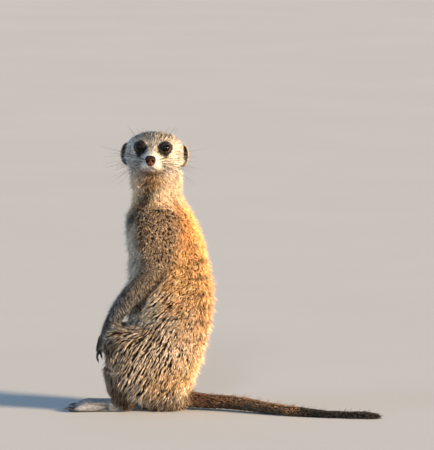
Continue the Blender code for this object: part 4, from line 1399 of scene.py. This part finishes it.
def whisker_material():
    """Stiff dark hair that pales towards its tip."""
    made, sums, feed = material("whisker", 0.4, {"Specular IOR Level": 0.5})
    along = sums.attribute("along")
    feed("Base Color", sums.mix((0.012, 0.010, 0.010, 1), (0.05, 0.04, 0.035, 1), along.step(0.5, 1.0)))
    feed("Roughness", 0.35 + 0.2 * along)
    return made


# ---- studio ----------------------------------------------------------------------------------


def look_at(item, place, target):
    """Puts a lamp or the camera at place, aimed at target."""
    place, target = np.array(place, float), np.array(target, float)
    back = unit(place - target)
    side = unit(np.cross((0, 0, 1.0), back))
    up = np.cross(back, side)
    rows = np.vstack([np.stack([side, up, back, place], 1), (0, 0, 0, 1)])
    item.matrix_world = Matrix(rows)


def toward(azimuth, elevation):
    """The direction at this azimuth (0 is -Y, 90 is +X) and elevation, in degrees."""
    a, e = math.radians(azimuth), math.radians(elevation)
    return np.array((math.sin(a) * math.cos(e), -math.cos(a) * math.cos(e), math.sin(e)))


def sun(name, azimuth, elevation, strength, colour, spread):
    """A far lamp in this direction. spread is how wide it looks, in degrees."""
    lamp = bpy.data.lights.new(name, "SUN")
    lamp.energy, lamp.color, lamp.angle = strength, colour, math.radians(spread)
    item = bpy.data.objects.new(name, lamp)
    bpy.context.scene.collection.objects.link(item)
    look_at(item, toward(azimuth, elevation) * 2, (0, 0, 0.15))


def make_studio():
    """A wide pale floor, a warm key, a cool fill, a lamp for the eyes' glint, and the camera."""
    studio = bpy.context.scene.meerkat_studio
    reach, rings, spokes = 40.0, 12, 64
    radius = reach * (np.arange(1, rings + 1) / rings)[:, None] ** 2
    turn = full_turn(spokes)
    disc = np.stack([radius * np.cos(turn), radius * np.sin(turn), 0 * radius * turn], -1).reshape(-1, 3)
    disc = np.vstack([disc, (0, 0, 0)])
    j = np.arange(spokes)
    middle = np.stack([j, (j + 1) % spokes, np.full(spokes, len(disc) - 1)], 1)
    floor = mesh_object("floor", disc, [grid_faces(rings, spokes)[:, ::-1], middle])
    made, sums, feed = material("floor", 0.9)
    cloud = sums.noise(3.0, 3.0)
    feed("Base Color", sums.mix((0.40, 0.39, 0.38, 1), (0.44, 0.43, 0.42, 1), cloud))
    floor.data.materials.append(made)

    world = bpy.data.worlds.new("studio")
    bpy.context.scene.world = world
    world.use_nodes = True
    backdrop = world.node_tree.nodes["Background"]
    backdrop.inputs["Color"].default_value = (*studio.sky, 1)
    backdrop.inputs["Strength"].default_value = studio.sky_strength
    sun("key", 90 + studio.key_side, studio.key_height, studio.key_strength, studio.key_colour, 14)
    sun("glint", 82, 28, 0.9, (0.70, 0.85, 1.0), 10)
    sun("fill", 15, 24, studio.fill_strength, (0.36, 0.62, 1.0), 35)

    lens = bpy.data.cameras.new("camera")
    lens.sensor_width, lens.lens = 36, LENS_TO_DISTANCE * studio.distance
    lens.clip_end = 200
    camera = bpy.data.objects.new("camera", lens)
    bpy.context.scene.collection.objects.link(camera)
    look_at(camera, CAMERA_AIM + toward(90, studio.camera_height) * studio.distance, CAMERA_AIM)
    bpy.context.scene.camera = camera
    bpy.context.scene.view_settings.view_transform = "Standard"


# ---- settings, operators and panel -----------------------------------------------------------


def colour(name, description, default):
    return FloatVectorProperty(
        name=name, description=description, default=default, subtype="COLOR", size=3, min=0, max=1
    )


def number(name, description, default, low, high, **more):
    return FloatProperty(name=name, description=description, default=default, min=low, max=high, **more)


def portion(name, description, default, high):
    return number(name, description, default, 0, high, subtype="FACTOR")


class CoatSettings(bpy.types.PropertyGroup):
    gold: colour("Gold", "Tips of the coat on the back", (0.98, 0.55, 0.21))
    sand: colour("Sand", "Tips of the coat on the flanks and arms", (0.92, 0.67, 0.43))
    cream: colour("Cream", "Face, sides of the neck and lower haunch", (0.90, 0.80, 0.65))
    grey: colour("Grey", "Forearms, shanks, feet and belly", (0.36, 0.34, 0.30))
    brown: colour("Brown", "Roots of the coat and bars on the back", (0.13, 0.075, 0.04))
    dark: colour("Dark", "Ears, hands and end of the tail", (0.022, 0.017, 0.015))
    # Mask is the patches' own black, taken darker still as painted shade of the eye sockets.
    mask: colour("Mask", "Patches round the eyes", (0.008, 0.005, 0.004))
    fullness: number("Fullness", "Share of the full count of tufts", 1.0, 0.1, 1.1)
    length: number("Length", "Length of the tufts against the table's", 1.0, 0.3, 1.5)
    strays: portion("Strays", "Share of hairs that stand out", 0.07, 0.3)
    gather: portion("Gather", "How far tips are drawn together in locks", 0.88, 1)
    lock_size: IntProperty(name="Lock size", description="Tufts in a lock", default=26, min=2, max=60)
    # The undercoat's dark is partly painted shade between the locks.
    undercoat: portion("Undercoat", "Share of short dark tufts", 0.60, 0.8)


class FaceSettings(bpy.types.PropertyGroup):
    # The iris colour shows fully only in the painted glow of light; elsewhere the iris is a fiftieth as
    # bright.
    iris: colour("Iris", "The iris", (0.34, 0.11, 0.02))
    # The nose colour shows fully only low on the pad, where painted warm light lies; above it is an eighth as
    # bright.
    nose: colour("Nose", "The nose pad", (0.13, 0.038, 0.013))
    pupil: number("Pupil", "Half angle of the pupil, in degrees", 31, 8, 40)
    lid_width: number("Lid width", "Half angle of the eye's opening to the side, in degrees", 56, 30, 80)
    lid_top: number("Upper lid", "Half angle of the opening upward, in degrees", 48, 20, 80)
    lid_bottom: number("Lower lid", "Half angle of the opening downward, in degrees", 46, 20, 80)
    whiskers: number("Whiskers", "Length of the whiskers against the usual", 1.0, 0.3, 1.5)


class StudioSettings(bpy.types.PropertyGroup):
    sky: colour("Sky", "Light from all round", (0.46, 0.71, 1.0))
    sky_strength: number("Sky strength", "Strength of the light from all round", 0.47, 0, 3)
    key_colour: colour("Key", "The main lamp", (1.0, 0.76, 0.50))
    key_strength: number("Key strength", "Strength of the main lamp", 11.6, 0, 20)
    key_side: number("Key side", "How far the main lamp stands beside the camera, in degrees", 62, -180, 180)
    key_height: number("Key height", "Height of the main lamp, in degrees", 20, 0, 90)
    fill_strength: number("Fill strength", "Strength of the fill lamp", 0.9, 0, 10)
    distance: number("Distance", "From the camera to the animal", 5, 1, 20, unit="LENGTH")
    camera_height: number("Camera height", "Height of the camera, in degrees", 5.5, 0, 40)


class MEERKAT_OT_studio(bpy.types.Operator):
    """Makes the floor, the lamps and the camera"""

    bl_idname = "meerkat.studio"
    bl_label = "Studio"

    def execute(self, context):
        make_studio()
        return {"FINISHED"}


class MEERKAT_OT_skin(bpy.types.Operator):
    """Makes one skin over all the flesh, with lids, mouth and ears"""

    bl_idname = "meerkat.skin"
    bl_label = "Skin"

    def execute(self, context):
        dressed(make_skin(), skin_material(), "coat", *FLESH)
        return {"FINISHED"}


class MEERKAT_OT_coat(bpy.types.Operator):
    """Makes every piece of the coat on the skin, then thins the skin under it"""

    bl_idname = "meerkat.coat"
    bl_label = "Coat"

    def execute(self, context):
        skin = bpy.data.objects.get("skin")
        if skin is None:
            raise RuntimeError("make the skin before the coat")
        fur = fur_material()
        for seed, name in enumerate(PIECES, 20):
            coat_piece(name, skin, fur, seed)
        thin(skin)
        return {"FINISHED"}


class MEERKAT_OT_eyes(bpy.types.Operator):
    """Makes both eyes"""

    bl_idname = "meerkat.eyes"
    bl_label = "Eyes"

    def execute(self, context):
        wet = eye_material()
        for label in SIDES:
            dressed(make_eye(label), wet, "eye", "eye_" + label)
        return {"FINISHED"}


class MEERKAT_OT_nose(bpy.types.Operator):
    """Makes the nose pad"""

    bl_idname = "meerkat.nose"
    bl_label = "Nose"

    def execute(self, context):
        dressed(make_nose(), nose_material(), "nose_leather", "nose")
        return {"FINISHED"}


class MEERKAT_OT_claws(bpy.types.Operator):
    """Makes the claws of all four paws"""

    bl_idname = "meerkat.claws"
    bl_label = "Claws"

    def execute(self, context):
        horn = claw_material()
        for kind in ("finger", "toe"):
            for label in SIDES:
                item, nodes = make_claws(kind, label)
                dressed(item, horn, "claw_horn", *nodes)
        return {"FINISHED"}


class MEERKAT_OT_whiskers(bpy.types.Operator):
    """Makes the whiskers and brow hairs"""

    bl_idname = "meerkat.whiskers"
    bl_label = "Whiskers"

    def execute(self, context):
        dressed(make_whiskers(), whisker_material(), "claw_horn")
        return {"FINISHED"}


STEPS = ("studio", "skin", "coat", "eyes", "nose", "claws", "whiskers")


class MEERKAT_PT_panel(bpy.types.Panel):
    """The meerkat's pieces and settings"""

    bl_idname = "MEERKAT_PT_panel"
    bl_label = "Meerkat"
    bl_space_type = "VIEW_3D"
    bl_region_type = "UI"
    bl_category = "Meerkat"

    def draw(self, context):
        for step in STEPS:
            self.layout.operator("meerkat." + step)
        for group in ("meerkat_coat", "meerkat_face", "meerkat_studio"):
            box = self.layout.box()
            settings = getattr(context.scene, group)
            for name in settings.__annotations__:
                box.prop(settings, name)


GROUPS = {"meerkat_coat": CoatSettings, "meerkat_face": FaceSettings, "meerkat_studio": StudioSettings}
CLASSES = (
    *GROUPS.values(),
    MEERKAT_OT_studio,
    MEERKAT_OT_skin,
    MEERKAT_OT_coat,
    MEERKAT_OT_eyes,
    MEERKAT_OT_nose,
    MEERKAT_OT_claws,
    MEERKAT_OT_whiskers,
    MEERKAT_PT_panel,
)


def register():
    for each in CLASSES:
        bpy.utils.register_class(each)
    for name, group in GROUPS.items():
        setattr(bpy.types.Scene, name, PointerProperty(type=group))


def unregister():
    for name in GROUPS:
        delattr(bpy.types.Scene, name)
    for each in reversed(CLASSES):
        bpy.utils.unregister_class(each)


def main():
    register()
    for step in STEPS:
        getattr(bpy.ops.meerkat, step)()


if __name__ == "__main__":
    main()
